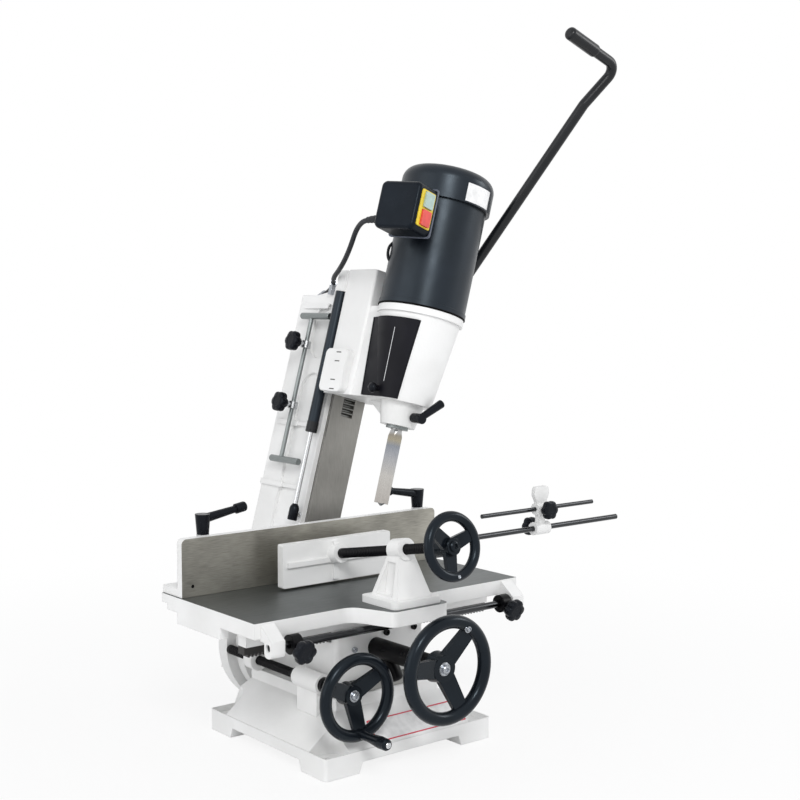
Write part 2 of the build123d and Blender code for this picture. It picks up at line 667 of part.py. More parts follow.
# Table: slab with a rounded front lobe, dovetail way block, end aprons and stop rod lugs
def make_table():
    left = TABLE_LEFT
    right = TABLE_RIGHT
    under = TABLE_TOP - TABLE_EDGE
    slab = make_face(Polyline((left, TABLE_FRONT), (right, TABLE_FRONT), (right, TABLE_BACK),
                              (left, TABLE_BACK), close=True))
    lobe_left = VISE_X - LOBE_X / 2
    lobe_right = VISE_X + LOBE_X / 2
    lobe = make_face(Polyline((lobe_left - LOBE_FILLET, TABLE_FRONT + 1), (lobe_left, LOBE_FRONT),
                              (lobe_right, LOBE_FRONT), (lobe_right + 6, TABLE_FRONT + 1), close=True))
    outline = slab + lobe
    tips = outline.vertices().filter_by_position(Axis.Y, LOBE_FRONT - 1, LOBE_FRONT + 1)
    outline = fillet(tips, 12)
    roots = [v for v in outline.vertices() if abs(v.Y - TABLE_FRONT) < 1 and abs(v.X - VISE_X) < TABLE_X / 3]
    outline = fillet(roots, LOBE_FILLET)
    body = Pos(0, 0, under) * extrude(outline, amount=TABLE_EDGE, dir=(0, 0, 1))
    base = SADDLE_TOP + SEAT
    way_left = TABLE_CENTRE_X - WAY_LENGTH / 2
    way_right = TABLE_CENTRE_X + WAY_LENGTH / 2
    rack_back = RACK_FRONT + RACK_WIDTH
    body += block(way_left, way_right, WAY_FRONT, WAY_BACK, base, under)
    body += block(left + RACK_INSET, right - RACK_INSET, WAY_FRONT, rack_back, base, under)
    near = RIDGE_Y - RIDGE_HALF - 2 * SLIDING - GIB
    far = RIDGE_Y + RIDGE_HALF + SLIDING
    roof = SADDLE_TOP + RIDGE_HEIGHT + SEAT
    groove = [(near, base - 1), (far, base - 1), (far, SADDLE_TOP), (far + RIDGE_FLARE, roof),
              (near - RIDGE_FLARE, roof), (near, SADDLE_TOP)]
    body -= prism_x(groove, way_left - 1, way_right + 1)
    body += block(left, left + APRON_THICK, APRON_FRONT, APRON_BACK, under - APRON_DROP, under)
    body -= block(left - 1, right + 1, TABLE_BACK - LIP_DEPTH, TABLE_BACK + 1,
                  under - 1, TABLE_TOP - LIP_THICK)
    lug_front = STOP_ROD_Y - STOP_LUG_Y / 2
    lug_back = STOP_ROD_Y + STOP_LUG_Y / 2
    lug_side = make_face(Polyline(
        (TABLE_FRONT + 1, TABLE_TOP - 2), (lug_front, under), (lug_front, STOP_LUG_LOW),
        (lug_back, STOP_LUG_LOW), (lug_back, under - 3), (TABLE_FRONT + 1, under - 3), close=True))
    lug_side = fillet(lug_side.vertices().group_by(Axis.Y)[0], STOP_LUG_Y * 0.4)
    for lug_x in (left + STOP_LUG_INSET, right - STOP_LUG_INSET - STOP_LUG_X):
        lug = extrude(Pos(lug_x, 0, 0) * (Plane.YZ * lug_side), amount=STOP_LUG_X, dir=(1, 0, 0))
        body += lug - rod_x(STOP_ROD_R, lug_x - 1, lug_x + STOP_LUG_X + 1, STOP_ROD_Y, STOP_ROD_Z)
    for x in (CLAMP_LEFT_X, CLAMP_RIGHT_X):
        body -= rod_z(CLAMP_STUD_R, under - 60, TABLE_TOP + 1, x, CLAMP_Y)
    return body


nodes["table"] = make_table()
rack_pitch = PINION_Z + PINION_MODULE * PINION_TEETH / 2
rack_back_z = SADDLE_TOP + SEAT - rack_pitch
rack_side = rack_outline(PINION_MODULE, TABLE_LEFT + RACK_INSET, TABLE_RIGHT - RACK_INSET, rack_back_z,
                         PINION_X)
rack_plan = [(x, z + rack_pitch) for x, z in rack_side]
nodes["table_rack"] = prism_y(rack_plan, RACK_FRONT, RACK_FRONT + RACK_WIDTH)
stop_rod_left = TABLE_LEFT + STOP_LUG_INSET + 3
stop_rod_right = TABLE_RIGHT - STOP_LUG_INSET - 3
nodes["table_stop_rod"] = rod_x(STOP_ROD_R, stop_rod_left, stop_rod_right, STOP_ROD_Y, STOP_ROD_Z)

# Stop collars on the rod, turned down a little, each held by a star knob
for name, x in (("left", STOP_COLLAR_LEFT), ("right", STOP_COLLAR_RIGHT)):
    turned = facing_operator(x, STOP_ROD_Y, STOP_ROD_Z) * Rot(STOP_KNOB_DIP, 0, 0)
    collar = rod_x(STOP_COLLAR_R, -STOP_COLLAR_X / 2, STOP_COLLAR_X / 2, 0, 0)
    collar -= rod_x(STOP_ROD_R + RUNNING, -STOP_COLLAR_X, STOP_COLLAR_X, 0, 0)
    collar -= rod_z(STUD_R + RUNNING, 0, STOP_COLLAR_R + 1, 0, 0)
    nodes[f"stop_collar_{name}"] = turned * collar
    stud = STOP_COLLAR_R - STOP_ROD_R - SEAT
    nodes[f"stop_knob_{name}"] = turned * Pos(0, 0, STOP_COLLAR_R + SEAT) * star_knob(stud)


# Fence: ground face plate on a slotted foot, with gussets behind
def make_fence():
    left = FENCE_LEFT
    right = FENCE_RIGHT
    base = TABLE_TOP + SEAT
    top = TABLE_TOP + FENCE_HEIGHT
    back = FENCE_FRONT + FENCE_THICK
    plate = block(left, right, FENCE_FRONT, back, base, top)
    corners = plate.edges().filter_by(Axis.Y).group_by(Axis.Z)[-1]
    plate = fillet(corners, FENCE_CORNER)
    foot = block(left, right, back - 1, TABLE_BACK, base, base + FENCE_FOOT)
    body = plate + foot
    foot_line = base + FENCE_FOOT - 1
    gusset = [(back - 1, foot_line), (TABLE_BACK - 10, foot_line), (back - 1, top - 16)]
    for x in (CLAMP_LEFT_X + 60, VISE_X - 60, VISE_X + 60, CLAMP_RIGHT_X - 60):
        body += prism_x(gusset, x - 4, x + 4)
    for x in (CLAMP_LEFT_X, CLAMP_RIGHT_X):
        wide = CLAMP_STUD_R + 1
        body -= rod_z(wide, base - 1, base + FENCE_FOOT + 1, x, CLAMP_Y - 6)
        body -= block(x - wide, x + wide, CLAMP_Y - 6, TABLE_BACK + 1, base - 1, base + FENCE_FOOT + 1)
    return body - rod_x(WORK_ROD_R, right - WORK_ROD_SET, right + 1, WORK_ROD_Y, WORK_ROD_Z)


nodes["fence"] = make_fence()
nodes["work_stop_rod"] = rod_x(WORK_ROD_R, FENCE_RIGHT - WORK_ROD_SET, WORK_ROD_END, WORK_ROD_Y, WORK_ROD_Z)
foot_top = TABLE_TOP + SEAT + FENCE_FOOT
studs = []
for clamp_x in (CLAMP_LEFT_X, CLAMP_RIGHT_X):
    stud = rod_z(CLAMP_STUD_R, TABLE_TOP - 18, CLAMP_HUB_Z + 18, clamp_x, CLAMP_Y)
    studs.append(stud + rod_z(CLAMP_SPACER_R, foot_top + SEAT, CLAMP_HUB_Z - SEAT, clamp_x, CLAMP_Y))
nodes["fence_clamp_studs"] = Compound(studs)


def clamp_lever():
    """Ratchet lever: tapered hub about local Z and an arm that rises along local X."""
    hub = cone_z(9.5, 12, 0, CLAMP_HUB_HEIGHT, 0, 0)
    rise = 13.0
    start = Plane(origin=(0, 0, CLAMP_HUB_HEIGHT - 8), z_dir=(CLAMP_ARM, 0, rise))
    length = math.hypot(CLAMP_ARM, rise)
    arm = loft([start * Circle(7.5), start * Pos(0, 0, length * 0.8) * Circle(5.5)])
    arm += start * Pos(0, 0, length * 0.88) * Cylinder(8, length * 0.24)
    body = hub + fillet(arm.edges().group_by(Axis.X)[-1], 4)
    return body - rod_z(CLAMP_STUD_R + RUNNING, -1, 18 + SEAT, 0, 0)


nodes["fence_lever_left"] = Pos(CLAMP_LEFT_X, CLAMP_Y, CLAMP_HUB_Z) * clamp_lever()
nodes["fence_lever_right"] = Pos(CLAMP_RIGHT_X, CLAMP_Y, CLAMP_HUB_Z) * Rot(0, 0, 180) * clamp_lever()


# Work stop: bracket on the long rod, short rod through its upper boss, two knobs
def make_stop_bracket():
    x = STOP_BRACKET_X
    low_r = WORK_ROD_R + 7
    high_r = UPPER_ROD_R + 7
    body = rod_x(low_r, x - 18, x + 18, WORK_ROD_Y, WORK_ROD_Z)
    body += block(x - 7, x + 7, WORK_ROD_Y - 6, WORK_ROD_Y + 6, WORK_ROD_Z, UPPER_ROD_Z)
    body += rod_x(high_r, x - 13, x + 13, WORK_ROD_Y, UPPER_ROD_Z)
    flag = make_face(Polyline((x - 6, UPPER_ROD_Z), (x + 6, UPPER_ROD_Z), (x + 19, UPPER_ROD_Z + 27),
                              (x + 17, UPPER_ROD_Z + 42), (x - 17, UPPER_ROD_Z + 42),
                              (x - 19, UPPER_ROD_Z + 27), close=True))
    flag = fillet(flag.vertices().sort_by(Axis.Y)[-4:], 7)
    body += Pos(0, WORK_ROD_Y - 4, 0) * extrude(Plane.XZ * flag, amount=8, dir=(0, 1, 0))
    body -= rod_x(WORK_ROD_R + RUNNING, x - 30, x + 30, WORK_ROD_Y, WORK_ROD_Z)
    body -= rod_x(UPPER_ROD_R + RUNNING, x - 30, x + 30, WORK_ROD_Y, UPPER_ROD_Z)
    body -= rod_y(STUD_R + RUNNING, WORK_ROD_Y, WORK_ROD_Y + low_r + 1, x, WORK_ROD_Z)
    body -= rod_y(STUD_R + RUNNING, WORK_ROD_Y - high_r - 1, WORK_ROD_Y, x, UPPER_ROD_Z)
    return body, low_r, high_r


stop_bracket, low_boss_r, high_boss_r = make_stop_bracket()
nodes["stop_bracket"] = stop_bracket
nodes["stop_finger_rod"] = rod_x(UPPER_ROD_R, UPPER_ROD_LEFT, UPPER_ROD_RIGHT, WORK_ROD_Y, UPPER_ROD_Z)
finger_place = facing_operator(STOP_BRACKET_X, WORK_ROD_Y - high_boss_r - SEAT, UPPER_ROD_Z)
nodes["stop_finger_knob"] = finger_place * star_knob(high_boss_r - UPPER_ROD_R - SEAT)
bracket_place = Plane(origin=(STOP_BRACKET_X, WORK_ROD_Y + low_boss_r + SEAT, WORK_ROD_Z),
                      x_dir=(-1, 0, 0), z_dir=(0, 1, 0)).location
nodes["stop_bracket_knob"] = bracket_place * star_knob(low_boss_r - WORK_ROD_R - SEAT)

# Vise: jaw plate, sloping screw, pedestal bracket on the lobe, handwheel
slope = math.radians(VISE_PITCH)
vise_axis = Plane(origin=(VISE_X, VISE_PLATE_FRONT, VISE_AXIS_Z), x_dir=(1, 0, 0),
                  z_dir=(0, -math.cos(slope), math.sin(slope))).location
plate_low = TABLE_TOP + VISE_PLATE_LIFT
plate_high = plate_low + VISE_PLATE_Z
plate_back = VISE_PLATE_FRONT + VISE_PLATE_THICK
plate = block(VISE_PLATE_LEFT, VISE_PLATE_RIGHT, VISE_PLATE_FRONT, plate_back, plate_low, plate_high)
plate = round_edges(plate, Axis.Y, 3)
rib = VISE_PLATE_FRONT - 4
plate += block(VISE_PLATE_LEFT + 8, VISE_PLATE_RIGHT - 8, rib, VISE_PLATE_FRONT + 1, VISE_AXIS_Z - 12,
               VISE_AXIS_Z - 4)
plate += block(VISE_X - 5, VISE_X + 5, rib, VISE_PLATE_FRONT + 1, plate_low + 4, plate_high - 4)
pin_end = -VISE_PLATE_THICK / 4
plate += vise_axis * rod_z(VISE_SOCKET_R, pin_end - 2, VISE_SOCKET_OUT, 0, 0)
plate -= vise_axis * rod_z(VISE_PIN_R + RUNNING, pin_end - SEAT, VISE_SOCKET_OUT + 1, 0, 0)
nodes["vise_plate"] = plate
vise_screw = rod_z(VISE_SCREW_R, VISE_SOCKET_OUT + SEAT, VISE_WHEEL_AT + VISE_HUB_FRONT, 0, 0)
vise_screw += rod_z(VISE_PIN_R, pin_end, VISE_SOCKET_OUT + 2, 0, 0)
nodes["vise_screw"] = vise_axis * vise_screw
vise_wheel = handwheel(VISE_WHEEL_D, VISE_RIM_R, VISE_HUB_R, VISE_HUB_BACK, VISE_HUB_FRONT, VISE_SCREW_R,
                       VISE_SPOKE_ANGLE, VISE_DISH)
nodes["vise_wheel"] = vise_axis * Pos(0, 0, VISE_WHEEL_AT) * vise_wheel


def make_vise_bracket():
    flange_back_y = VISE_FLANGE_FRONT + VISE_FLANGE_Y
    flange = block(VISE_X - VISE_FLANGE_X / 2, VISE_X + VISE_FLANGE_X / 2, VISE_FLANGE_FRONT, flange_back_y,
                   TABLE_TOP, TABLE_TOP + VISE_FLANGE_Z)
    flange = round_edges(flange, Axis.Z, 10)
    middle = (VISE_BOSS_NEAR + VISE_BOSS_FAR) / 2
    boss_y = VISE_PLATE_FRONT - middle * math.cos(slope)
    boss_z = VISE_AXIS_Z + middle * math.sin(slope)
    boss_length = VISE_BOSS_FAR - VISE_BOSS_NEAR
    foot_z = TABLE_TOP + VISE_FLANGE_Z
    foot_y = (VISE_FLANGE_FRONT + flange_back_y) / 2
    low = Pos(VISE_X, foot_y, foot_z - 1) * Rectangle(VISE_FOOT_X, VISE_FOOT_Y)
    high = Pos(VISE_X, boss_y, boss_z) * Rectangle(VISE_BOSS_R * 1.5, boss_length * 0.8)
    body = flange + loft([low, high])
    body += vise_axis * rod_z(VISE_BOSS_R, VISE_BOSS_NEAR, VISE_BOSS_FAR, 0, 0)
    wide = VISE_FOOT_Y * 0.3
    narrow = boss_length * 0.32
    hollow = [(boss_y - wide, foot_z + 3), (boss_y + wide, foot_z + 3),
              (boss_y + narrow, boss_z - VISE_BOSS_R), (boss_y - narrow, boss_z - VISE_BOSS_R)]
    body -= prism_x(hollow, VISE_X - VISE_FLANGE_X / 2, VISE_X - VISE_HOLLOW_X)
    body -= prism_x(hollow, VISE_X + VISE_HOLLOW_X, VISE_X + VISE_FLANGE_X / 2)
    bore = rod_z(VISE_SCREW_R + RUNNING, VISE_BOSS_NEAR - VISE_BOSS_R, VISE_BOSS_FAR + VISE_BOSS_R, 0, 0)
    return body - vise_axis * bore


nodes["vise_bracket"] = make_vise_bracket()


def pocket_cells(low, high, ribs):
    """One round-ended side pocket, drawn flat in height, split into cells by ribs at given heights."""
    outline = Pos(0, (low + high) / 2) * Rot(0, 0, 90) * SlotOverall(high - low, 2 * POCKET_R)
    starts = [low] + [z + POCKET_RIB / 2 for z in ribs]
    ends = [z - POCKET_RIB / 2 for z in ribs] + [high]
    cells = []
    for start, end in zip(starts, ends):
        cell = outline & (Pos(0, (start + end) / 2) * Rectangle(3 * POCKET_R, end - start))
        at_rib = [z for z in (start, end) if low < z < high]
        corners = [v for v in cell.vertices() for z in at_rib if abs(v.Y - z) < 0.01]
        cells.append(fillet(corners, POCKET_CORNER) if corners else cell)
    return cells


# Column: box casting with a dovetail way, side pockets and the round tilt flange
def make_column():
    profile = [(COLUMN_FRONT, COLUMN_FOOT), (COLUMN_FRONT, COLUMN_TOP_FRONT),
               (COLUMN_BACK - 55, COLUMN_TOP_BACK), (COLUMN_BACK, COLUMN_TOP_BACK),
               (COLUMN_BACK, COLUMN_TAIL), (flange_back - 4, COLUMN_TAIL), (flange_back - 4, COLUMN_FOOT)]
    body = prism_x(profile, -COLUMN_HALF, COLUMN_HALF)
    back_edges = body.edges().filter_by(Axis.Z).group_by(Axis.Y)[-1]
    body = fillet(back_edges, 10)
    upper_high = COLUMN_TOP_BACK - POCKET_MARGIN
    upper_low = upper_high - POCKET_UPPER
    ribs = [POCKET_RIB_LOW, POCKET_RIB_HIGH]
    cells = pocket_cells(upper_low, upper_high, [])
    cells += pocket_cells(COLUMN_FOOT + POCKET_FRONT, upper_low - POCKET_LAND, ribs)
    for cell in cells:
        outline = Plane.YZ * Pos(COLUMN_FRONT + POCKET_FRONT + POCKET_R, 0) * cell
        for x in (-COLUMN_HALF - 1, COLUMN_HALF - COLUMN_POCKET):
            body -= extrude(Pos(x, 0, 0) * outline, amount=COLUMN_POCKET + 1, dir=(1, 0, 0))
    deep = WAY_FACE + WAY_DEPTH
    root = COLUMN_HALF - WAY_UNDERCUT
    land = WAY_FACE + WAY_LAND
    way = [(-COLUMN_HALF, WAY_FACE), (COLUMN_HALF, WAY_FACE), (COLUMN_HALF, land), (root, deep),
           (root, COLUMN_FRONT + 1), (-root, COLUMN_FRONT + 1), (-root, deep), (-COLUMN_HALF, land)]
    body += prism_z(way, COLUMN_FOOT, COLUMN_TOP_FRONT)
    body -= block(-DROP_RACK_X / 2, DROP_RACK_X / 2, WAY_FACE - 1, WAY_FACE + DROP_RACK_Y,
                  DROP_RACK_LOW, DROP_RACK_HIGH)
    body += rod_y(FLANGE_R, TRUNNION_FACE, flange_back, 0, 0)
    body -= rod_y(PIVOT_PIN_R + RUNNING, TRUNNION_FACE - 1, flange_back + 1, 0, 0)
    body -= rod_y(PIVOT_PIN_R * 1.5 + 2, flange_back, COLUMN_BACK + 1, 0, 0)
    slot_width = 2 * TILT_BOLT_R + 2
    for middle_angle in (0, 180):
        arc = CenterArc((0, 0), TILT_BOLT_PCR, middle_angle - TILT_LIMIT, 2 * TILT_LIMIT)
        slot = Plane.XZ * SlotArc(arc, slot_width)
        body -= extrude(Pos(0, TRUNNION_FACE - 1, 0) * slot, amount=FLANGE_THICK + 2, dir=(0, 1, 0))
    for z in (DEPTH_BAR_LOW, DEPTH_BAR_HIGH):
        for y in (DEPTH_BAR_FRONT + 8, DEPTH_BAR_BACK - 8):
            body += rod_x(DEPTH_BAR_R - 1.5, DEPTH_ROD_X, -COLUMN_HALF + COLUMN_POCKET + 1, y, z)
    return body


column = make_column()
depth_rod = rod_z(DEPTH_ROD_R, DEPTH_BAR_LOW, DEPTH_BAR_HIGH, DEPTH_ROD_X, DEPTH_ROD_Y)
depth_bars = []
for bar_z in (DEPTH_BAR_LOW, DEPTH_BAR_HIGH):
    bar = rod_y(DEPTH_BAR_R, DEPTH_BAR_FRONT, DEPTH_BAR_BACK, DEPTH_ROD_X, bar_z)
    depth_bars.append(fillet(bar.edges().group_by(Axis.Y)[0], 1) - depth_rod)
strut_pin = rod_x(5, STRUT_X, -COLUMN_HALF + COLUMN_POCKET, STRUT_Y, STRUT_FOOT + 9)
column_body = column - depth_bars - strut_pin
nodes["column"] = lean * column_body
nodes["depth_stop_rod"] = lean * depth_rod
nodes["depth_stop_bars"] = lean * Compound(depth_bars)
drop_pitch_y = WAY_FACE + DROP_MODULE + 0.5
drop_back = WAY_FACE + DROP_RACK_Y - drop_pitch_y
drop_side = rack_outline(DROP_MODULE, DROP_RACK_LOW, DROP_RACK_HIGH, drop_back, DROP_Z)
drop_plan = [(y + drop_pitch_y, z) for z, y in drop_side]
nodes["column_rack"] = lean * prism_x(drop_plan, -DROP_RACK_X / 2, DROP_RACK_X / 2)

# Depth stop collars with their star knobs
depth_collars = {"upper": DEPTH_BAR_HIGH - DEPTH_COLLAR_DROP, "lower": DEPTH_BAR_LOW + DEPTH_COLLAR_RISE}
for name, z in depth_collars.items():
    collar = rod_z(DEPTH_COLLAR_R, z - DEPTH_COLLAR_Z / 2, z + DEPTH_COLLAR_Z / 2, DEPTH_ROD_X, DEPTH_ROD_Y)
    collar -= rod_z(DEPTH_ROD_R + RUNNING, z - DEPTH_COLLAR_Z, z + DEPTH_COLLAR_Z, DEPTH_ROD_X, DEPTH_ROD_Y)
    collar -= rod_x(STUD_R + RUNNING, DEPTH_ROD_X - DEPTH_COLLAR_R - 1, DEPTH_ROD_X, DEPTH_ROD_Y, z)
    nodes[f"depth_collar_{name}"] = lean * collar
    outward = Plane(origin=(DEPTH_ROD_X - DEPTH_COLLAR_R - SEAT, DEPTH_ROD_Y, z), x_dir=(0, -1, 0),
                    z_dir=(-1, 0, 0)).location
    knob = star_knob(DEPTH_COLLAR_R - DEPTH_ROD_R - SEAT, DEPTH_KNOB_NECK)
    nodes[f"depth_knob_{name}"] = lean * outward * knob

# Gas strut: cylinder hangs from the head, rod stands on the column
strut_foot = rod_z(STRUT_EYE_R, STRUT_FOOT, STRUT_FOOT + STRUT_EYE_Z, STRUT_X, STRUT_Y)
strut_guide = STRUT_LOW + 20
strut_piston = STRUT_LOW + 40
strut_rod = rod_z(STRUT_ROD_R, STRUT_FOOT + STRUT_EYE_Z - 2, strut_piston, STRUT_X, STRUT_Y) + strut_foot
strut_rod += rod_z(STRUT_PISTON_R, strut_piston, strut_piston + 6, STRUT_X, STRUT_Y)
nodes["strut_rod"] = lean * (strut_rod + strut_pin)
cylinder = rod_z(STRUT_R, STRUT_LOW, STRUT_TOP, STRUT_X, STRUT_Y)
cylinder -= rod_z(STRUT_ROD_R + RUNNING, STRUT_LOW - 1, strut_guide, STRUT_X, STRUT_Y)
cylinder -= rod_z(STRUT_PISTON_R + RUNNING, strut_guide, STRUT_TOP - 30, STRUT_X, STRUT_Y)
nodes["strut_cylinder"] = lean * cylinder


# Head: slide with a dovetail groove, tapered body, motor face, nose for the chisel
def body_shell(grow):
    """The tapered body: a cone under the motor and flat cheeks that run back to the slide."""
    cone = cone_z(BODY_LOW_R + grow, BODY_TOP_R + grow, SLIDE_LOW, BODY_TOP, 0, SPINDLE_Y)
    faces = []
    for z, r in ((SLIDE_LOW, BODY_LOW_R + grow), (BODY_TOP, BODY_TOP_R + grow)):
        back = BODY_BACK_HALF + grow
        quad = Polyline((-r, SPINDLE_Y), (r, SPINDLE_Y), (back, SLIDE_FRONT + 2), (-back, SLIDE_FRONT + 2),
                        close=True)
        faces.append(Pos(0, 0, z) * make_face(quad))
    return cone + loft(faces, ruled=True)


def make_head():
    deep = WAY_FACE + WAY_DEPTH
    land = WAY_FACE + WAY_LAND
    slide = block(-SLIDE_HALF, SLIDE_HALF, SLIDE_FRONT, deep, SLIDE_LOW, SLIDE_TOP)
    slide = round_edges(slide, Axis.Z, 5)
    gap = SLIDING
    left = COLUMN_HALF + gap + GIB + gap
    right = COLUMN_HALF + gap
    near = right - WAY_UNDERCUT
    far = WAY_UNDERCUT - left
    groove = [(-left, WAY_FACE - gap), (right, WAY_FACE - gap), (right, land), (near, deep), (near, deep + 1),
              (far, deep + 1), (far, deep), (-left, land)]
    body = slide + body_shell(0)
    body += rod_z(FACE_R, BODY_TOP, FACE_Z, 0, SPINDLE_Y)
    body += block(-BODY_BACK_HALF, BODY_BACK_HALF, SPINDLE_Y, SLIDE_FRONT + 1, BODY_TOP - 1, FACE_Z)
    body += cone_z(NOSE_LOW_R, NOSE_TOP_R, NOSE_LOW, SLIDE_LOW + 1, 0, SPINDLE_Y)
    gusset = [(SPINDLE_Y + BUSH_R + 2, GUSSET_LOW), (SPINDLE_Y + NOSE_LOW_R, GUSSET_LOW),
              (SLIDE_FRONT, SLIDE_LOW + 1), (SPINDLE_Y + BUSH_R + 2, SLIDE_LOW + 1)]
    body += prism_x(gusset, -GUSSET_X / 2, GUSSET_X / 2)
    lug = block(-LUG_OUT, -SLIDE_HALF + 1, LUG_FRONT, LUG_BACK, SLIDE_LOW + 1, SLIDE_LOW + 1 + LUG_HEIGHT)
    body += round_edges(lug, Axis.X, 9)
    ear = block(STRUT_X - 6, STRUT_X + 8, deep - 4, STRUT_Y + STRUT_R, STRUT_TOP, SLIDE_TOP - 2)
    body += ear
    body += rod_x(DROP_HUB_R + 2, SLIDE_HALF - 1, SLIDE_HALF + 8, drop_axis_y, DROP_Z)
    body -= prism_z(groove, SLIDE_LOW - 1, SLIDE_TOP + 1)
    tip = DROP_MODULE * (DROP_TEETH / 2 + 1)
    body -= rod_x(tip + 1.5, -DROP_RACK_X / 2 - 1, DROP_RACK_X / 2 + 1, drop_axis_y, DROP_Z)
    body -= rod_x(DROP_SHAFT_R + RUNNING, -SLIDE_HALF + 10, SLIDE_HALF + 20, drop_axis_y, DROP_Z)
    body -= rod_z(CHAMBER_R, CHAMBER_LOW, CHAMBER_TOP, 0, SPINDLE_Y)
    body -= rod_z(SHAFT_R + 6, CHAMBER_TOP - 1, FACE_Z + 1, 0, SPINDLE_Y)
    body -= rod_z(BUSH_R, NOSE_LOW - 1, CHAMBER_LOW + 1, 0, SPINDLE_Y)
    body -= block(-BODY_TOP_R - 5, -CHAMBER_R * 0.5, SPINDLE_Y - 30, SPINDLE_Y + 30,
                  CHAMBER_LOW + 6, CHAMBER_TOP - 12)
    body -= rod_y(STUD_R + RUNNING, SPINDLE_Y - NOSE_TOP_R - 5, SPINDLE_Y, 0, nose_screw_z)
    return body


drop_r = DROP_MODULE * DROP_TEETH / 2
drop_axis_y = drop_pitch_y - drop_r
nose_screw_z = (NOSE_LOW + SLIDE_LOW) / 2 - 2
head = make_head()
nodes["head_casting"] = lean * head
land_y = WAY_FACE + WAY_LAND
deep_y = WAY_FACE + WAY_DEPTH
gib_in = -COLUMN_HALF - SLIDING
head_gib = [(gib_in, WAY_FACE), (gib_in, land_y), (gib_in + WAY_UNDERCUT, deep_y),
            (gib_in + WAY_UNDERCUT - GIB, deep_y), (gib_in - GIB, land_y), (gib_in - GIB, WAY_FACE)]
nodes["head_gib"] = lean * prism_z(head_gib, SLIDE_LOW + 3, SLIDE_TOP - 3)

# Chuck door on the left of the body
door_skin = body_shell(SEAT + DOOR_THICK) - body_shell(SEAT)
door_top = BODY_TOP - DOOR_TOP_GAP
door_side = [(DOOR_BACK, DOOR_LOW), (DOOR_BACK, door_top), (DOOR_FRONT_TOP, door_top),
             (DOOR_FRONT_LOW, DOOR_LOW)]
door_area = prism_x(door_side, -2 * BODY_TOP_R, -BODY_LOW_R * 0.4)
hinge_y = DOOR_BACK + HINGE_R * 0.75
hinge_points = []
for z in (DOOR_LOW, door_top):
    wide = BODY_LOW_R + (BODY_TOP_R - BODY_LOW_R) * (z - SLIDE_LOW) / (BODY_TOP - SLIDE_LOW)
    back_share = (hinge_y - SPINDLE_Y) / (SLIDE_FRONT + 2 - SPINDLE_Y)
    cheek = wide + (BODY_BACK_HALF - wide) * back_share
    hinge_points.append(Vector(-cheek - HINGE_R - SEAT - 0.2, hinge_y, z))
hinge_low, hinge_high = hinge_points
barrel = Plane(origin=(hinge_low + hinge_high) / 2, z_dir=hinge_high - hinge_low)
door_hinge = barrel * Cylinder(HINGE_R, (hinge_high - hinge_low).length)
nodes["chuck_door"] = lean * ((door_skin & door_area) + door_hinge)

# Down feed pinion shaft and the bent lever
drop_gear = Pos(0, drop_axis_y, DROP_Z) * Rot(0, 90, 0) * gear(DROP_MODULE, DROP_TEETH, DROP_RACK_X - 2)
drop_shaft = rod_x(DROP_SHAFT_R, -SLIDE_HALF + 12, DROP_HUB_OUT, drop_axis_y, DROP_Z)
drop_hub = rod_x(DROP_HUB_R, SLIDE_HALF + 8 + SEAT, DROP_HUB_OUT, drop_axis_y, DROP_Z)
nodes["feed_pinion_shaft"] = lean * (drop_shaft + drop_hub + drop_gear)
lever_lean = math.radians(LEVER_LEAN)
lever_splay = math.radians(LEVER_SPLAY)
lever_way = Vector(math.sin(lever_splay), -math.cos(lever_splay) * math.sin(lever_lean),
                   math.cos(lever_splay) * math.cos(lever_lean))
lever_root = Vector((SLIDE_HALF + 8 + DROP_HUB_OUT) / 2, drop_axis_y, DROP_Z)
lever_start = lever_root + lever_way * (DROP_HUB_R + SEAT)
lever_bend = lever_root + lever_way * LEVER_REACH
lever_elbow = lever_bend + lever_way * LEVER_KICK + Vector(LEVER_KICK_OUT, 0, 0)
grip_way = (Vector(-1, 0, 0) + lever_way * 0.075).normalized()
lever_tip = lever_elbow + grip_way * GRIP_LENGTH
lever_path = FilletPolyline(lever_start, lever_bend, lever_elbow, lever_tip, radius=LEVER_BEND_R)
lever = sweep(Plane(origin=lever_start, z_dir=lever_way) * Circle(LEVER_R), path=lever_path)
grip = Plane(origin=lever_tip, z_dir=grip_way) * Pos(0, 0, -32) * Cylinder(GRIP_R, 70)
lever += fillet(grip.edges(), 6)
lever_hub_faces = rod_x(DROP_HUB_R, SLIDE_HALF, DROP_HUB_OUT + 1, drop_axis_y, DROP_Z)
socket_place = Plane(origin=lever_root, z_dir=lever_way) * Pos(0, 0, DROP_HUB_R + 8)
lever_socket = socket_place * Cylinder(LEVER_R + 3, 34)
nodes["feed_lever"] = lean * (lever + lever_socket - lever_hub_faces)


# Motor: shell with stator bore, fan cowl, rotor with shaft, chuck
def make_motor():
    shell = rod_z(MOTOR_R, FACE_Z, MOTOR_SEAM, 0, SPINDLE_Y)
    shell += rod_z(MOTOR_R + 1.5, FACE_Z, FACE_Z + 9, 0, SPINDLE_Y)
    shell -= rod_z(STATOR_R, FACE_Z + 22, MOTOR_SEAM - 22, 0, SPINDLE_Y)
    shell -= rod_z(SHAFT_R + RUNNING, FACE_Z - 1, MOTOR_SEAM + 1, 0, SPINDLE_Y)
    return shell


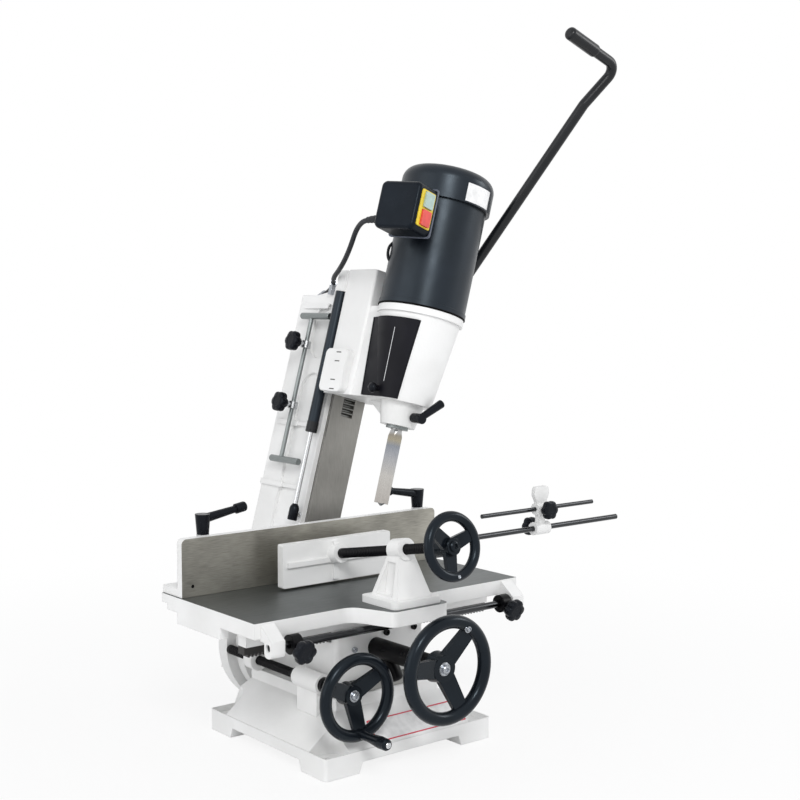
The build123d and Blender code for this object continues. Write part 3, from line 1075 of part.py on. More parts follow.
nodes["motor_body"] = lean * make_motor()
cowl = rod_z(COWL_R, MOTOR_SEAM - 3, COWL_TOP, 0, SPINDLE_Y)
cowl = fillet(cowl.edges().group_by(Axis.Z)[-1], 22)
cowl -= rod_z(MOTOR_R + SEAT, MOTOR_SEAM - 4, MOTOR_SEAM, 0, SPINDLE_Y)
cowl -= rod_z(COWL_R - 14, MOTOR_SEAM - 1, COWL_TOP - 24, 0, SPINDLE_Y)
nodes["fan_cowl"] = lean * cowl
rotor = rod_z(ROTOR_R, FACE_Z + 26, MOTOR_SEAM - 26, 0, SPINDLE_Y)
rotor += rod_z(SHAFT_R, CHUCK_TOP, MOTOR_SEAM + 20, 0, SPINDLE_Y)
rotor += rod_z(COWL_R - 22, MOTOR_SEAM + 6, MOTOR_SEAM + 18, 0, SPINDLE_Y)
nodes["motor_rotor"] = lean * rotor
chuck = rod_z(CHUCK_R, CHUCK_LOW + 22, CHUCK_TOP, 0, SPINDLE_Y)
chuck += cone_z(AUGER_R + 3, CHUCK_R, CHUCK_LOW, CHUCK_LOW + 22, 0, SPINDLE_Y)
chuck -= rod_z(AUGER_R, CHUCK_LOW - 1, CHUCK_LOW + 40, 0, SPINDLE_Y)
nodes["drill_chuck"] = lean * chuck
auger = rod_z(AUGER_R, AUGER_TIP + 4, CHUCK_LOW + 40, 0, SPINDLE_Y)
auger += cone_z(1.0, AUGER_R, AUGER_TIP, AUGER_TIP + 4, 0, SPINDLE_Y)
nodes["auger_bit"] = lean * auger


# Hollow chisel in its bush
def make_chisel():
    half = CHISEL / 2
    shoulder = NOSE_LOW - 5
    stem = Pos(0, SPINDLE_Y, (CHISEL_TIP + shoulder) / 2) * Box(CHISEL, CHISEL, shoulder - CHISEL_TIP)
    taper_low = shoulder - CHISEL_TAPER
    turned = rod_z(half * 1.5, CHISEL_TIP - 1, taper_low, 0, SPINDLE_Y)
    turned += cone_z(half * 1.5, half * 1.06, taper_low, shoulder, 0, SPINDLE_Y)
    body = (stem & turned) + rod_z(CHISEL_SHANK_R, shoulder - 1, CHAMBER_LOW - 2, 0, SPINDLE_Y)
    body -= cone_z(half + 0.6, AUGER_R, CHISEL_TIP - 1, CHISEL_TIP + 8, 0, SPINDLE_Y)
    body -= block(0, half + 1, SPINDLE_Y - 3, SPINDLE_Y + 3, CHISEL_TIP + 26, shoulder - 34)
    return body - rod_z(AUGER_R + RUNNING, CHISEL_TIP - 1, CHAMBER_LOW + 1, 0, SPINDLE_Y)


nodes["hollow_chisel"] = lean * make_chisel()
bush = rod_z(BUSH_R, NOSE_LOW - 3, CHAMBER_LOW - 2, 0, SPINDLE_Y)
bush += rod_z(BUSH_R + 4, NOSE_LOW - 4.5, NOSE_LOW, 0, SPINDLE_Y)
bush -= rod_z(CHISEL_SHANK_R, NOSE_LOW - 6, CHAMBER_LOW, 0, SPINDLE_Y)
bush -= block(-1.5, 1.5, SPINDLE_Y, SPINDLE_Y + BUSH_R + 5, NOSE_LOW - 6, CHAMBER_LOW)
nodes["chisel_bush"] = lean * bush

# Clamping lever on the nose
nose_r = (NOSE_LOW_R + NOSE_TOP_R) / 2
lever_y = SPINDLE_Y - nose_r - 3
clamp_place = Plane(origin=(0, lever_y, nose_screw_z), x_dir=(1, 0, 0), z_dir=(0, -1, 0)).location
clamp = cone_z(NOSE_LEVER_R - 1, NOSE_LEVER_R, 0, NOSE_LEVER_OUT + 6, 0, 0)
clamp += rod_z(STUD_R, -nose_r - 3 + BUSH_R + SEAT, 1, 0, 0)
arm_angle = math.radians(NOSE_LEVER_ANGLE)
arm_plane = Plane(origin=(0, 0, NOSE_LEVER_OUT), z_dir=(math.cos(arm_angle), math.sin(arm_angle), 0.12))
clamp_arm = loft([arm_plane * Circle(5.5), arm_plane * Pos(0, 0, NOSE_LEVER_ARM) * Circle(7)])
clamp += fillet(clamp_arm.edges().group_by(Axis.X)[-1], 3)
nodes["chisel_clamp_lever"] = lean * clamp_place * clamp

# Switch box on the left of the motor, with two buttons on the side that faces the operator
box_place = lean * Pos(0, SPINDLE_Y, BOX_Z) * Rot(0, 0, BOX_TURN) * Pos(0, -BOX_OFFSET, 0)
half_w = BOX_WIDTH / 2
half_h = BOX_HEIGHT / 2
box_inner = BOX_DEPTH - BOX_REACH
cover = block(-BOX_REACH, box_inner, -half_w, half_w, -half_h, half_h)
cover = fillet(cover.edges().filter_by(Axis.X), 10)
cover = fillet(cover.faces().sort_by(Axis.X)[0].edges(), 7)
seat_block = block(box_inner - 1, -MOTOR_R * 0.5, 0, half_w - 8, -half_h + 14, half_h - 14)
motor_round = Pos(0, BOX_OFFSET, 0) * Cylinder(MOTOR_R, 4 * BOX_HEIGHT)
button_x = (box_inner - BOX_REACH) / 2
switch_box = cover + (seat_block - motor_round)
button_gap = 2.0
buttons = {"stop_button": -BUTTON_HEIGHT / 2 - button_gap, "start_button": BUTTON_HEIGHT / 2 + button_gap}
for name, z in buttons.items():
    button_low = z - BUTTON_HEIGHT / 2
    button_high = z + BUTTON_HEIGHT / 2
    button_left = button_x - BUTTON_WIDTH / 2
    button_right = button_x + BUTTON_WIDTH / 2
    switch_box -= block(button_left - SEAT, button_right + SEAT, -half_w - 1, -half_w + 14,
                        button_low - SEAT, button_high + SEAT)
    button = block(button_left, button_right, -half_w - BUTTON_PROUD, -half_w + 9, button_low, button_high)
    nodes[name] = box_place * round_edges(button, Axis.Y, 2)
gland_r = CORD_R + 3.0
gland_x = box_inner - GLAND_INSET
switch_box += rod_y(gland_r, half_w - 1, half_w + GLAND_LENGTH, gland_x, -GLAND_DROP)
nodes["switch_box"] = box_place * switch_box

# Cord from the gland, round the slide to the clip and into the column
gland_end = Rot(0, 0, BOX_TURN) * Pos(gland_x, half_w + GLAND_LENGTH - BOX_OFFSET, -GLAND_DROP)
cord_start = gland_end.position + Vector(0, SPINDLE_Y, BOX_Z)
gland_way = Vector(0, 1, 0).rotate(Axis.Z, BOX_TURN)
cord_points = [cord_start, cord_start + gland_way * 28, Vector(-114, 68, 676), Vector(-101, 92, 649),
               Vector(-86, 121, 630.5), Vector(-71, 153, 617.5), Vector(-55, 187, 610.3),
               Vector(-17, 233, 603.7), Vector(-12, 262, 593.5)]
radii = []
for i in range(1, len(cord_points) - 1):
    into = cord_points[i] - cord_points[i - 1]
    out = cord_points[i + 1] - cord_points[i]
    turn = math.radians(into.get_angle(out))
    radii.append(0.45 * min(into.length, out.length) / math.tan(turn / 2))
print("cord radii", [round(r, 1) for r in radii])
cord_path = FilletPolyline(*cord_points, radius=radii)
cord_section = Plane(origin=cord_points[0], z_dir=cord_points[1] - cord_points[0]) * Circle(CORD_R)
cord = sweep(cord_section, path=cord_path)
cord_share = cord.volume / (math.pi * CORD_R**2 * cord_path.length)
print("cord length", round(cord_path.length, 1), "volume share", round(cord_share, 4))
nodes["power_cord"] = lean * cord
clip_way = cord_points[7] - cord_points[6]
clip_at = cord_points[6] + clip_way * 0.5
clip_plane = Plane(origin=clip_at, x_dir=(0, 0, 1), z_dir=clip_way)
clip = clip_plane * Cylinder(CORD_R + 2.5, 8)
clip += block(clip_at.X - 4, clip_at.X + 4, clip_at.Y - 4, clip_at.Y + 4, COLUMN_TOP_BACK, clip_at.Z)
clip -= clip_plane * Cylinder(CORD_R + SEAT, 30)
entry_way = cord_points[-1] - cord_points[-2]
entry_plane = Plane(origin=cord_points[-1], z_dir=entry_way)
entry = entry_plane * Pos(0, 0, 11) * Cylinder(gland_r, 22) - column
nodes["cord_clip"] = lean * Compound([clip - column, entry])

os.makedirs("parts", exist_ok=True)
for name, shape in nodes.items():
    export_step(shape if isinstance(shape, Compound) else Part(shape.wrapped), f"parts/{name}.step")
print(len(nodes), "nodes")
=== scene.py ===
# %% [markdown]
# # A hollow chisel mortiser with a leaning column
# The machine cuts square holes: an auger turns inside a square chisel and a long lever pushes both
# down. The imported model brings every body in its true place, so this lesson only dresses it: light,
# finishes, the cord, and the small turned and moulded pieces that a drawing leaves plain.

import bmesh
import bpy
import numpy as np
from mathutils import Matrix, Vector


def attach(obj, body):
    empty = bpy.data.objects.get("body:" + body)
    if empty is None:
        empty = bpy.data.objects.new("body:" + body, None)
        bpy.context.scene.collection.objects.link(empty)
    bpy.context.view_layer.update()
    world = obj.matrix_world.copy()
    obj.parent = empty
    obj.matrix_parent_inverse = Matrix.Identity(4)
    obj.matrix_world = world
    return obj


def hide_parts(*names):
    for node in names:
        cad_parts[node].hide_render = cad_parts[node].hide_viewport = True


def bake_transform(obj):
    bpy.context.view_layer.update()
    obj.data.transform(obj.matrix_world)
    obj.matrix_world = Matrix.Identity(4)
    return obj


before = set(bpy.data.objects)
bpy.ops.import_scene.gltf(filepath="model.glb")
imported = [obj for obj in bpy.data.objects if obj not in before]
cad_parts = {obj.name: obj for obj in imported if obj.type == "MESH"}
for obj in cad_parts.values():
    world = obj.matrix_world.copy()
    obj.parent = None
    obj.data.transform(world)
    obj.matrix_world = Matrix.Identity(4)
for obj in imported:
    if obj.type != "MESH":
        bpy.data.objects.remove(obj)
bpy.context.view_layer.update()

# %% [markdown]
# ## Camera
# The camera stands to the left of the machine, a little above the table, and looks slightly down. A
# long lens keeps the upright edges nearly parallel. A short lens from nearer by would spread the
# two handwheels apart. The focal length was measured in pixels, so it is turned into millimetres on
# the sensor.

# %% Camera
PHOTO_WIDTH = 800.0  # pixels
FOCAL_LENGTH = 1350.0  # pixels, at that width
SENSOR = 36.0  # millimetres
LOOK_RIGHT, LOOK_DOWN = 39.0, 4.4  # degrees
EYE = (-1.2548, -1.6781, 0.690)  # metres

camera_data = bpy.data.cameras.new("photo_camera")
camera_data.sensor_fit = "HORIZONTAL"
camera_data.sensor_width = SENSOR
camera_data.lens = SENSOR * FOCAL_LENGTH / PHOTO_WIDTH
camera = bpy.data.objects.new("photo_camera", camera_data)
camera.location = EYE
camera.rotation_euler = np.radians((90.0 - LOOK_DOWN, 0.0, -LOOK_RIGHT))
bpy.context.scene.collection.objects.link(camera)
bpy.context.scene.camera = camera
print("camera at", EYE, "with a lens of", camera_data.lens, "mm")

# %% [markdown]
# ## Studio
# White enamel and black plastic share one picture, so the light has to be broad: a pale world,
# three soft boxes and a white floor. What the camera sees straight on is plain white, while the
# light that falls on the machine stays at a plain level, so that a colour comes out about as it is
# written. World and materials are made of nodes. Two helpers keep that short: one adds a node, one
# tells a direct look from light that falls on things.


# %% Node helpers
def new_node(tree, kind, values=None, **settings):
    """Add one node; values fill its sockets with numbers or links, settings set its own options."""
    node = tree.nodes.new("ShaderNode" + kind)
    for key, value in settings.items():
        setattr(node, key, value)
    for key, value in (values or {}).items():
        if isinstance(value, bpy.types.NodeSocket):
            tree.links.new(value, node.inputs[key])
        else:
            node.inputs[key].default_value = value
    return node


def seen_directly(tree):
    """1 for rays from the camera, from gloss and through glass; 0 for the light that falls on things."""
    path = new_node(tree, "LightPath")
    rays = {0: path.outputs["Is Glossy Ray"], 1: path.outputs["Is Transmission Ray"]}
    sharp = new_node(tree, "Math", rays, operation="MAXIMUM")
    looks = {0: path.outputs["Is Camera Ray"], 1: sharp.outputs[0]}
    return new_node(tree, "Math", looks, operation="MAXIMUM").outputs[0]


print("helpers for nodes:", new_node.__name__, "and", seen_directly.__name__)

# %% [markdown]
# ## World
# The world is the pale room round the machine. One strength can't do both jobs: a white background
# needs 1, but that much light would wash out the enamel. So two backgrounds are mixed, and the kind
# of ray picks one.

# %% Pale world
ROOM_LIGHT = 0.58

scene = bpy.context.scene
scene.view_settings.view_transform = "Standard"
world = bpy.data.worlds.new("white_studio")
world.use_nodes = True
sky = world.node_tree
sky.nodes.clear()
soft_light = new_node(sky, "Background", {"Color": (0.97, 0.98, 1.0, 1), "Strength": ROOM_LIGHT})
white_wall = new_node(sky, "Background", {"Color": (1, 1, 1, 1), "Strength": 1.0})
sky_mix = new_node(sky, "MixShader", {0: seen_directly(sky), 1: soft_light.outputs[0],
                                      2: white_wall.outputs[0]})
new_node(sky, "OutputWorld", {"Surface": sky_mix.outputs[0]})
scene.world = world
print("world:", world.name, "with light", ROOM_LIGHT)

# %% [markdown]
# ## Floor
# The machine stands on a white sheet that runs out of sight. Plain paint alone would turn grey far
# away, and a plain glow would swallow the shadow. So the glow takes a larger share as the distance
# grows, and near the feet enough paint is left to show the shadow.

# %% White floor
REACH = 9.0  # metres from the middle to the edge
UNDER = -0.0008  # just below the feet
FADE_FROM, FADE_TO = 0.35, 1.6  # metres from the middle
GLOW_NEAR = 0.84  # share of glow at the feet

floor_mesh = bpy.data.meshes.new("floor")
floor_mesh.from_pydata([(-REACH, -REACH, UNDER), (REACH, -REACH, UNDER), (REACH, REACH, UNDER),
                        (-REACH, REACH, UNDER)], [], [(0, 1, 2, 3)])
floor = bpy.data.objects.new("floor", floor_mesh)
scene.collection.objects.link(floor)
pale = bpy.data.materials.new("pale_floor")
pale.use_nodes = True
tree = pale.node_tree
tree.nodes.clear()
paint = new_node(tree, "BsdfDiffuse", {"Color": (0.9, 0.9, 0.9, 1)})
glow = new_node(tree, "Emission", {"Color": (1, 1, 1, 1), "Strength": 1.0})
spot = new_node(tree, "VectorMath", {0: new_node(tree, "TexCoord").outputs["Object"]}, operation="LENGTH")
fade = new_node(tree, "MapRange", {"Value": spot.outputs["Value"], "From Min": FADE_FROM, "From Max": FADE_TO,
                                   "To Min": GLOW_NEAR, "To Max": 1.0}, interpolation_type="SMOOTHSTEP")
share = new_node(tree, "Math", {0: seen_directly(tree), 1: fade.outputs[0]}, operation="MULTIPLY")
floor_mix = new_node(tree, "MixShader", {0: share.outputs[0], 1: paint.outputs[0], 2: glow.outputs[0]})
new_node(tree, "OutputMaterial", {"Surface": floor_mix.outputs[0]})
floor_mesh.materials.append(pale)
print("floor", 2 * REACH, "m wide")

# %% [markdown]
# ## Soft boxes
# Three square lamps light the machine. The key lamp stands above and behind the camera and draws
# the light band on the motor. A large weak one fills the column's left side, a small one gives the
# dark parts a right edge. Bare point lamps would be simpler, but they leave hard shadows and
# pin-sharp spots on the lacquer.


# %% Three soft boxes
def soft_box(name, place, aim, size, power):
    """A square area light at a place, turned to a point."""
    data = bpy.data.lights.new(name, "AREA")
    data.size = size
    data.energy = power
    lamp = bpy.data.objects.new(name, data)
    lamp.location = place
    lamp.rotation_euler = (Vector(aim) - Vector(place)).to_track_quat("-Z", "Y").to_euler()
    scene.collection.objects.link(lamp)


soft_box("key_box", (-1.4, -2.55, 2.4), (0.0, 0.0, 0.45), size=1.0, power=51)
soft_box("left_box", (-2.8, 0.2, 1.5), (0.0, 0.1, 0.45), size=2.4, power=20)
soft_box("right_box", (2.2, -1.3, 1.5), (0.0, 0.0, 0.5), size=0.9, power=13)
print("soft boxes: key, left and right")

# %% [markdown]
# ## Places on the machine
# All sizes are millimetres until a mesh is made, which takes metres. The column and all that it
# carries are written upright and then leaned over, as the real one is. Small pieces are written
# about their own axis first and then carried to their place, which is easier to read than a shape
# that is worked out where it ends up.

# %% Lean and placing
LEAN = np.radians(15.4)
PIVOT_Z = 118.0  # height of the pin that the column leans on
SPINDLE_Y = 2.0
ROUND = np.linspace(0, 2 * np.pi, 48, endpoint=False)


def leaned(points):
    """Turn points of the upright column by the lean: x cos + z sin, y, 118 - x sin + z cos."""
    x, y, z = np.moveaxis(np.asarray(points, float), -1, 0)
    return np.stack([x * np.cos(LEAN) + z * np.sin(LEAN), y,
                     PIVOT_Z - x * np.sin(LEAN) + z * np.cos(LEAN)], axis=-1)


def unit(vector):
    """The vector divided by its length."""
    vector = np.asarray(vector, float)
    return vector / np.linalg.norm(vector)


def placed(local, origin, axis, up=(0, 0, 1)):
    """Carry local points to an origin, with local z along axis and local y as near to up as it can be."""
    along = unit(axis)
    side = np.cross(up, along)
    side = unit(side) if np.linalg.norm(side) > 1e-6 else np.array((1.0, 0.0, 0.0))
    return np.asarray(origin, float) + np.asarray(local) @ np.stack([side, np.cross(along, side), along])


print("lean", np.degrees(LEAN).round(1), "degrees;", len(ROUND), "columns for round pieces")

# %% [markdown]
# ## Surfaces
# Every new piece here is a surface worked out as arrays. A grid of points has rows and columns:
# rows follow a profile, columns go round an axis. One function turns grids into a mesh, merges the
# points that meet at a pole, and lets the finished piece ride a body of the machine.


# %% Grids and pieces
def spun(rows, theta=ROUND):
    """Rows of (radius, height) carried round local z; a radius may itself change with the angle."""
    radius = np.stack([np.broadcast_to(row[0], theta.shape) for row in rows])
    height = np.stack([np.broadcast_to(row[1], theta.shape) for row in rows])
    return np.stack([radius * np.cos(theta), radius * np.sin(theta), height], axis=-1)


def piece(name, grids, material, body, wrap=True, smooth=35):
    """Join grids of points into one mesh piece that rides a body; wrap closes the columns into a ring."""
    points, faces, count = [], [], 0
    for grid in grids:
        rows, columns = grid.shape[:2]
        index = count + np.arange(rows * columns).reshape(rows, columns)
        if wrap:
            index = np.concatenate([index, index[:, :1]], axis=1)
        quads = np.stack([index[:-1, :-1], index[:-1, 1:], index[1:, 1:], index[1:, :-1]], axis=-1)
        points.append(grid.reshape(-1, 3))
        faces.append(quads.reshape(-1, 4))
        count += rows * columns
    mesh = bpy.data.meshes.new(name)
    mesh.from_pydata((np.concatenate(points) / 1000).tolist(), [], np.concatenate(faces).tolist())
    shell = bmesh.new()
    shell.from_mesh(mesh)
    bmesh.ops.remove_doubles(shell, verts=shell.verts, dist=1e-6)
    bmesh.ops.dissolve_degenerate(shell, edges=shell.edges, dist=1e-7)
    bmesh.ops.recalc_face_normals(shell, faces=shell.faces)
    shell.to_mesh(mesh)
    shell.free()
    mesh.polygons.foreach_set("use_smooth", np.ones(len(mesh.polygons), bool))
    mesh.set_sharp_from_angle(angle=np.radians(smooth))
    mesh.materials.append(material)
    thing = bpy.data.objects.new(name, mesh)
    scene.collection.objects.link(thing)
    if body:
        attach(thing, body)
    return thing


print("helpers for shapes:", spun.__name__, "and", piece.__name__)

# %% [markdown]
# ## Finishes
# Every finish on the machine is uneven: sprayed, ground, moulded or rubbed. Each one is made from
# noise on the piece's own coordinates, so a pattern stays put when the piece moves. A picture of a
# surface would do as well, but noise has no seams and no size of its own. These helpers give a
# material, noise, a blend and a bump.


# %% Finish helpers
def new_material(name, colour, roughness, metallic=0.0):
    """A material with its node tree and its shader, at a plain colour, roughness and metal share."""
    material = bpy.data.materials.new(name)
    material.use_nodes = True
    shader = material.node_tree.nodes["Principled BSDF"]
    shader.inputs["Base Color"].default_value = (*colour, 1)
    shader.inputs["Roughness"].default_value = roughness
    shader.inputs["Metallic"].default_value = metallic
    return material, material.node_tree, shader


def noise(tree, scale, detail=3.0, stretch=(1, 1, 1)):
    """Noise on the piece's own coordinates, so that it stays put when the piece moves."""
    place = new_node(tree, "TexCoord")
    stretched = new_node(tree, "Mapping", {"Vector": place.outputs["Object"], "Scale": stretch})
    return new_node(tree, "TexNoise", {"Vector": stretched.outputs[0], "Scale": scale,
                                       "Detail": detail}).outputs[0]


def shaded(colour, share):
    """The colour times a share, held at 1."""
    return tuple(min(1.0, share * part) for part in colour)


def ramp(tree, value, low, high, start=0.35, end=0.65):
    """Blend two colours as a value goes from start to end."""
    node = new_node(tree, "ValToRGB", {"Fac": value})
    node.color_ramp.elements[0].position = start
    node.color_ramp.elements[0].color = (*low, 1)
    node.color_ramp.elements[1].position = end
    node.color_ramp.elements[1].color = (*high, 1)
    return node.outputs[0]


def bumped(tree, value, distance, strength=1.0, edge=0.0):
    """A bump from a value in metres; edge rounds sharp corners in the shading by that radius."""
    inputs = {"Height": value, "Distance": distance, "Strength": strength}
    if edge:
        inputs["Normal"] = new_node(tree, "Bevel", {"Radius": edge}, samples=4).outputs[0]
    return new_node(tree, "Bump", inputs).outputs[0]


def spread(tree, value, low, high):
    """Stretch a value from its middle range to low and high."""
    return new_node(tree, "MapRange", {"Value": value, "From Min": 0.3, "From Max": 0.7, "To Min": low,
                                       "To Max": high}).outputs[0]


print("helpers for finishes:", ", ".join(f.__name__ for f in (new_material, noise, ramp, bumped, spread)))

# %% [markdown]
# ## White enamel and ground iron
# The castings are sprayed white over a sandy skin, so the enamel has a fine bump, faint clouding
# and soft edges. Where a slide or the work runs, the iron is ground bare. One casting carries both
# finishes, so a mask made from the object's own coordinates says where the grinder went: above a
# height, or in front of a plane.

# %% Enamel with ground faces
ENAMEL_LOW = (0.80, 0.80, 0.79)
ENAMEL_HIGH = (0.88, 0.88, 0.875)
Y, Z = 1, 2
ABOVE, BELOW = 1, -1


def ground_mask(tree, tests):
    """1 where all tests hold; a test is (axis, ABOVE or BELOW, limit in metres)."""
    place = new_node(tree, "TexCoord")
    split = new_node(tree, "SeparateXYZ", {0: place.outputs["Object"]})
    mask = None
    for axis, sign, limit in tests:
        test = new_node(tree, "Math", {0: split.outputs[axis], 1: limit},
                        operation="GREATER_THAN" if sign == ABOVE else "LESS_THAN").outputs[0]
        if mask is not None:
            test = new_node(tree, "Math", {0: mask, 1: test}, operation="MULTIPLY").outputs[0]
        mask = test
    return mask


def casting(name, tests=None, iron=(0.20, 0.20, 0.185), grain=(1, 1, 1), mottle=(0.82, 1.28)):
    """White enamel over sand-cast skin, with ground iron where the tests hold.

    Grain stretches the grinding lines; mottle gives the darkest and brightest share of the iron colour.
    """
    material, tree, shader = new_material(name, ENAMEL_HIGH, 0.34)
    enamel = ramp(tree, noise(tree, 9.0), ENAMEL_LOW, ENAMEL_HIGH)
    sand = noise(tree, 420.0, 4.0)
    waves = {0: noise(tree, 55.0, 2.0), 1: 2.6, 2: sand}
    uneven = new_node(tree, "Math", waves, operation="MULTIPLY_ADD")
    skin = bumped(tree, uneven.outputs[0], distance=0.00026, strength=0.5, edge=0.0016)
    dull = spread(tree, noise(tree, 60.0), 0.30, 0.42)
    if tests is None:
        tree.links.new(enamel, shader.inputs["Base Color"])
        tree.links.new(dull, shader.inputs["Roughness"])
        tree.links.new(skin, shader.inputs["Normal"])
        return material
    mask = ground_mask(tree, tests)
    lines = noise(tree, 160.0, 5.0, grain)
    dark, bright = (tuple(share * part for part in iron) for share in mottle)
    stock = ramp(tree, noise(tree, 14.0, 6.0), dark, bright, 0.3, 0.7)
    ground = ramp(tree, lines, dark, bright, 0.3, 0.7)
    streak = new_node(tree, "MixRGB", {0: 0.5, 1: stock, 2: ground}).outputs[0]
    colour = new_node(tree, "MixRGB", {0: mask, 1: enamel, 2: streak}).outputs[0]
    tree.links.new(colour, shader.inputs["Base Color"])
    tree.links.new(mask, shader.inputs["Metallic"])
    worn = spread(tree, lines, 0.36, 0.52)
    rough = new_node(tree, "Mix", {"Factor": mask, "A": dull, "B": worn}).outputs[0]
    tree.links.new(rough, shader.inputs["Roughness"])
    scratches = bumped(tree, lines, distance=0.00008, strength=0.4, edge=0.0008)
    normal = new_node(tree, "Mix", {"Factor": mask}, data_type="VECTOR")
    tree.links.new(skin, normal.inputs[4])
    tree.links.new(scratches, normal.inputs[5])
    tree.links.new(normal.outputs[1], shader.inputs["Normal"])
    return material


print("enamel from", ENAMEL_LOW, "to", ENAMEL_HIGH)

# %% [markdown]
# ## Finishes of the castings
# Table, fence, column, base and saddle have ground faces, and the other castings are white all
# over. Each limit lies a hair inside the face that the grinder left. The lines follow the stroke:
# along the table, the fence and the saddle, up the column, and from front to back on the base.

# %% Castings
TABLE_TOP = 0.2377
FENCE_FACE = 0.0764
COLUMN_FACE = 0.1597
BASE_WAY, BASE_BACK = 0.0963, 0.149
SADDLE_TOP = 0.1909
SLIDE_IRON = (0.24, 0.24, 0.23)

white_enamel = casting("white_enamel")
table_iron = casting("table_enamel_and_iron", [(Z, ABOVE, TABLE_TOP)], (0.135, 0.145, 0.145), (0.25, 6, 6))
fence_iron = casting("fence_enamel_and_iron", [(Y, BELOW, FENCE_FACE)], (0.33, 0.32, 0.285), (0.3, 6, 6),
                     mottle=(0.60, 1.45))
column_iron = casting("column_enamel_and_iron", [(Y, BELOW, COLUMN_FACE)], (0.24, 0.235, 0.22), (6, 6, 0.4))
base_iron = casting("base_enamel_and_iron", [(Z, ABOVE, BASE_WAY), (Y, BELOW, BASE_BACK)], SLIDE_IRON,
                    (6, 0.3, 6))
saddle_iron = casting("saddle_enamel_and_iron", [(Z, ABOVE, SADDLE_TOP)], SLIDE_IRON, (0.3, 6, 6))
print("castings:", white_enamel.name, table_iron.name, fence_iron.name, column_iron.name)

# %% [markdown]
# ## Black finishes
# The screws are blackened steel, the motor has a satin black lacquer, the lever is painted, and the
# handwheels and knobs are moulded black plastic with a gloss. Flat black would look like a hole, so
# each one has a cloudy tone, a wandering roughness and a fine bump. A cool tint in the sheen stands
# for the blue of the room's light.

# %% Dark finishes
COOL = (0.74, 0.88, 1.0)


def blackened(name, colour, low, high, bump, scale, gloss=0.5, sheen=(1, 1, 1)):
    """A dark finish: cloudy tone, wandering roughness, a fine bump, and a tint in its sheen."""
    material, tree, shader = new_material(name, colour, low)
    tone = ramp(tree, noise(tree, 18.0), shaded(colour, 0.8), shaded(colour, 1.3))
    tree.links.new(tone, shader.inputs["Base Color"])
    tree.links.new(spread(tree, noise(tree, 45.0), low, high), shader.inputs["Roughness"])
    grain = bumped(tree, noise(tree, scale, 3.0), bump, strength=0.5, edge=0.0007)
    tree.links.new(grain, shader.inputs["Normal"])
    shader.inputs["Specular IOR Level"].default_value = gloss
    shader.inputs["Specular Tint"].default_value = (*sheen, 1)
    return material


# Name, colour, lowest and highest roughness, height and scale of the bump, gloss, sheen.
motor_lacquer = blackened("motor_lacquer", (0.006, 0.008, 0.012), 0.30, 0.38, 0.00010, 380.0, 0.38, COOL)
black_steel = blackened("blackened_steel", (0.004, 0.004, 0.005), 0.26, 0.40, 0.00005, 900.0, 0.12)
lever_paint = blackened("lever_paint", (0.008, 0.009, 0.011), 0.24, 0.34, 0.00005, 700.0, 0.3)
wheel_plastic = blackened("wheel_plastic", (0.006, 0.008, 0.011), 0.17, 0.26, 0.00005, 260.0, 0.20, COOL)
knob_plastic = blackened("knob_plastic", (0.006, 0.006, 0.008), 0.20, 0.32, 0.00005, 500.0, 0.15, COOL)
box_plastic = blackened("box_plastic", (0.006, 0.008, 0.012), 0.26, 0.38, 0.00010, 700.0, 0.13, COOL)
# The lid rim is paler than the box: painted highlight along the edge of the lid.
rim_highlight_plastic = blackened("rim_highlight_plastic", (0.10, 0.11, 0.14), 0.30, 0.42, 0.00008, 700.0, 0.4, COOL)
door_plastic = blackened("door_plastic", (0.006, 0.006, 0.009), 0.36, 0.48, 0.00008, 800.0, 0.14)
cord_rubber = blackened("cord_rubber", (0.018, 0.020, 0.024), 0.42, 0.56, 0.00008, 600.0, 0.3)
# Near-black for painted shade inside the cowl slots and the fence's pin hole, and for the gasket's own black.
hole_shade_and_gasket = blackened("hole_shade_and_gasket", (0.004, 0.004, 0.004), 0.6, 0.8, 0.00004, 900.0, 0.05)
# The table's rack is painted near-black as the shade under the table's front edge, darker than its bare
# steel.
painted_shade_rack = blackened("painted_shade_rack", (0.022, 0.021, 0.020), 0.36, 0.50, 0.00005, 500.0, 0.3)
print("11 dark finishes, the darkest is", hole_shade_and_gasket.name)

# %% [markdown]
# ## Bare metal
# Shafts, collars and caps are turned bright, the depth stop is drawn bar, the stop rods are dark polished
# steel and the strut's rod is chromed. The chisel bush takes the darker bar steel as painted shade under the
# nose. A lathe or a die leaves marks that run one way, so the noise is squeezed along one direction and
# drives tone, roughness and bump together.


# %% Bright finishes
def bare_metal(name, colour, low, high, stretch, scale=220.0):
    """Bare metal with tool marks: noise squeezed along one direction drives tone, roughness and bump."""
    material, tree, shader = new_material(name, colour, low, 1.0)
    marks = noise(tree, scale, 4.0, stretch)
    tone = ramp(tree, marks, shaded(colour, 0.82), shaded(colour, 1.1), 0.3, 0.7)
    tree.links.new(tone, shader.inputs["Base Color"])
    tree.links.new(spread(tree, marks, low, high), shader.inputs["Roughness"])
    scores = bumped(tree, marks, distance=0.00006, strength=0.4, edge=0.0005)
    tree.links.new(scores, shader.inputs["Normal"])
    return material


# Name, colour, lowest and highest roughness, stretch of the tool marks.
turned_steel = bare_metal("turned_steel", (0.50, 0.51, 0.52), 0.22, 0.36, (1, 1, 9))
bar_steel_and_bush_shade = bare_metal("bar_steel_and_bush_shade", (0.25, 0.27, 0.27), 0.30, 0.44, (5, 0.6, 5))
cap_steel = bare_metal("cap_steel", (0.40, 0.42, 0.45), 0.20, 0.32, (3, 3, 3))
chrome = bare_metal("chrome", (0.66, 0.67, 0.69), 0.07, 0.16, (3, 3, 3))
rack_steel = bare_metal("rack_steel", (0.22, 0.22, 0.21), 0.34, 0.48, (4, 4, 4))
